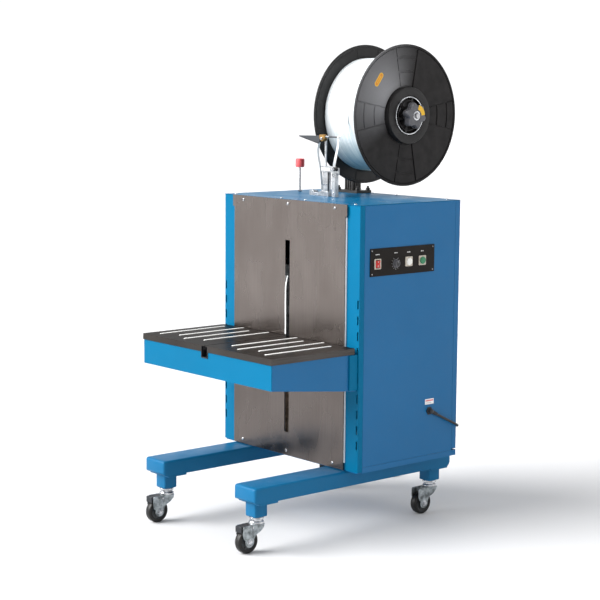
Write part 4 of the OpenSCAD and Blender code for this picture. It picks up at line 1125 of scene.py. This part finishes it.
def add_strain_relief():
    """A ribbed sleeve that follows the cord, and the nut and collar that hold it to the side cover."""
    gland = Form(at(348, 316.5, 378, turned_by(-90 - 26.34, "X")))
    ribs = ((8, 7.2), (9, 6), (10.6, 6), (11.6, 7.4), (13.4, 7.4), (14.4, 6.2), (16, 6.2), (17, 7.5),
            (18.8, 7.5), (19.8, 6.3), (21.4, 6.3), (22.4, 7.4), (24.2, 7.4), (25.2, 6.2), (27, 6.2),
            (28, 7.2), (32.6, 6.8), (34, 5.9))
    gland.turned([(0.5, -6.5), (5, -7), (8, -4), (8.8, 0), (8.3, 3), (7.4, 6)]
                 + [(radius - 0.055 * height, height) for height, radius in ribs] + [(0.5, 34)], 48)
    wall = at(SIDE_X, 316.5, 378, ALONG_X)
    gland.turned([(0.5, 0), (14, 0), (14, 2.6), (12.8, 4), (9, 4.6), (0.5, 4.6)], 6, place=wall)
    gland.turned([(0.5, 4.4), (9.6, 4.4), (10.2, 5.6), (9.4, 7.8), (0.5, 8)], 40, place=wall)
    gland.build("cable_strain_relief", "cable", "cabinet", "cable_rubber", ["cable_gland"], 0.0003)


# ---- Legs, table and cabinet details ----

# The leg's channel: half its width, its lower edge and top, and where its straight part runs.
LEG_HALF, LEG_LOW, LEG_TOP, LEG_FRONT, LEG_REAR = 52, 162, 212, -353, 462


def leg_outline(middle, inset, low):
    """The leg's outside in X and Z, drawn in by the inset."""
    wide, tall, top = LEG_HALF - inset, LEG_TOP - inset, 8 - inset * 0.6
    corners = arc(top, 180, 90, 5, (-wide + top, tall - top)) + arc(top, 90, 0, 5, (wide - top, tall - top))
    return [(middle + x, z) for x, z in [(-wide, low + inset), *corners, (wide, low + inset)]]


def add_legs():
    """Folded channels, closed at both ends, with rounded corners; open underneath between the caster pads."""
    front = [(-375, 8, 166), (-374.3, 4.6, 166.5), (-372.6, 2.2, 165.5), (-370, 0.7, 164.5),
             (-366.5, 0, 163.6), (LEG_FRONT, 0, LEG_LOW)]
    rear = [(LEG_REAR, 0, LEG_LOW), (463, 0, 162), (469, 0.4, 168), (473.5, 1.6, 172.6), (476, 4, 174),
            (477, 8, 172)]
    for name, middle in (("left", -LEG_X), ("right", LEG_X)):
        form = Form(DESIGN)
        for end in (front, rear):
            form.shell([[(x, y, z) for x, z in leg_outline(middle, inset, low)] for y, inset, low in end])
        inner = [(49, LEG_LOW), *arc(5, 0, 90, 5, (44, 204)), *arc(5, 90, 180, 5, (-44, 204)), (-49, LEG_LOW)]
        channel = leg_outline(middle, 0, LEG_LOW) + [(middle + x, z) for x, z in inner]
        form.shell([[(x, y, z) for x, z in channel] for y in (LEG_FRONT, LEG_REAR)])
        form.build("leg_channel_" + name, "blue_leg", "cabinet", "blue_paint", ["leg_" + name], sharp=50)

    posts = Form(DESIGN)
    # The block's outside, then the bore for the caster's stem.
    block = ((112, 46.5, 5), (112.8, 48.6, 5), (114.4, 49.7, 5), (117, 50, 5), (156.4, 50, 5),
             (156.4, 16.4, 8.1), (112, 16.4, 8.1))
    for x in (-LEG_X, LEG_X):
        for y, near, far in ((STEM_Y["front"], -356, -282), (STEM_Y["rear"], 383, LEG_REAR)):
            posts.box((x - 51.8, near, 156), (x + 51.8, far, LEG_LOW))
            posts.shell([[(x + a, y + b, z) for a, b in round_box(width, width, corner)]
                         for z, width, corner in block], loop=True)
    posts.build("caster_post_blocks", "blue_leg", "cabinet", "blue_paint", ["caster_posts"], 0.0012)


def add_strap_track():
    """The steel track behind the lower slot, where the strap's end comes back to the sealing head."""
    track = Form(DESIGN)
    track.box((-13, 5, 284), (13, 6.5, 486))
    for side in (-1, 1):
        track.box((side * 11.8 - 1.2, -3, 284), (side * 11.8 + 1.2, 5.2, 486))
    track.build("strap_track", "track", "cabinet", "stainless", edge=0.0004)


def add_table_details():
    table_z = 617
    lips = Form(DESIGN)
    for low, high in ((-3.5, -2.8), (2.8, 3.5)):
        lips.box((low, -349, 604), (high, -12, table_z))
    lips.build("table_gap_lips", "channel", "table", "channel_plastic")

    strips = Form(DESIGN)
    section = [(-4, 0), (-4, 1.1), (-3.4, 1.8), (-2.2, 2), (2.2, 2), (3.4, 1.8), (4, 1.1), (4, 0)]
    long = 272
    shares = [(0, 0.2), (1.2, 0.55), (2.4, 0.85), (4.5, 1)]
    shares += [(long - along, share) for along, share in reversed(shares)]
    for x, y in ((-284, -316), (-218, -286), (-152, -316), (-86, -286), (60, -286), (126, -316), (192, -286),
                 (260, -316)):
        strips.shell([[(x + u * share, y + along, table_z + v * min(1, share + 0.15)) for u, v in section]
                      for along, share in shares])
    strips.build("glide_strips_rounded", "strip", "table", "strip_plastic", ["glide_strips"], sharp=50)

    # Pale strips on the plate's folded side edges; their colour is a painted highlight, the light the edges
    # catch.
    edge_highlights = Form(DESIGN)
    for side in (-1, 1):
        low, high = mirror(side, 279.3, 281.6)
        edge_highlights.box((low, -5.0, 240), (high, -0.4, 1024))
    edge_highlights.build("plate_edge_highlight_strips", "edge_highlight", "cabinet", "strip_plastic", edge=0.0003)


def add_rear_details():
    """Louvres, latches and a blank rating plate on the rear cover, which no view shows."""
    rear_y = 445
    louvres = Form(DESIGN)
    profile = [(0, 0), (3.6, -1), (4.2, -3), (3.4, -9), (0.4, -12)]
    for x in (-130, 130):
        for z in (860 - 22 * k for k in range(7)):
            louvres.shell([[(x + u, rear_y + y * s, z + v * (0.4 + 0.6 * s)) for y, v in profile]
                           for u, s in ((-62, 0.05), (-60, 0.6), (-55, 1), (55, 1), (60, 0.6), (62, 0.05))])
    louvres.build("rear_cover_louvres", "blue", "cabinet", "blue_paint", sharp=40)

    latch = Form(DESIGN)
    for x in (-250, 250):
        place = at(x, rear_y, 560, ALONG_Y)
        latch.turned([(0.5, 0), (13, 0), (13, 1.4), (11.6, 2.4), (0.5, 2.6)], 48, place=place)
        latch.turned([(0.5, 2.4), (8, 2.4), (8, 4), (7.2, 4.8), (0.5, 5)], 40, place=place)
    latch.build("rear_cover_latches", "chrome", "cabinet", "screw_steel")

    plate = Form(at(0, rear_y, 640, ALONG_Y @ turned_by(90)))
    plate.prism(round_box(90, 50, 2.5), 0, 0.5)
    plate.prism(round_box(82, 42, 1.5), 0.4, 0.62, 1)
    for x in (-41, 41):
        for y in (-21, 21):
            pan_head(plate, plate.place @ Matrix.Translation((x, y, 0.4)), 1.6, 0.9)
    plate.build("rating_plate_blank", "chrome label_grey", "cabinet", "screw_steel")


def add_stand_nuts():
    """A washer, a nut and a bolt's end at each corner of the reel stand's foot."""
    nuts = Form(DESIGN)
    for place in (at(x, y, 0) for x in (-188, -92) for y in (384, 433)):
        nuts.turned([(0.5, 1073), (9.6, 1073), (10, 1073.4), (9.8, 1074.5), (0.5, 1074.5)], 40, place=place)
        nuts.turned([(0.5, 1074.4), (7, 1074.4), (7.6, 1075.2), (7.6, 1080.4), (7, 1081.2), (0.5, 1081.2)],
                    6, place=place)
        nuts.turned([(0.5, 1081), (4, 1081), (4.05, 1087.4), (3.2, 1088.2), (0.5, 1088.4)], 24, place=place)
    nuts.build("stand_nuts", "stand", "cabinet", "stand_paint")


# ---- The machine ----

add_camera()
add_stage()
for look_name, edge_radius, node_names in DRESS:
    for node_name in node_names.split():
        dress(node_name, look_name, edge_radius)
add_reel()
add_strap_coil()
add_reel_knob()
for corner_name, (caster_x, caster_y) in CASTERS.items():
    add_wheel(corner_name, caster_x, caster_y)
    add_fork(corner_name, caster_x, caster_y)
add_brake("left", -LEG_X)
add_brake("right", LEG_X)
add_buttons()
add_rocker()
add_dial()
add_panel_marks()
add_cover_screws()
add_guide_arm()
add_bracket()
add_tension_knob()
add_straps()
add_cord()
add_strain_relief()
add_legs()
add_strap_track()
add_table_details()
add_rear_details()
add_stand_nuts()
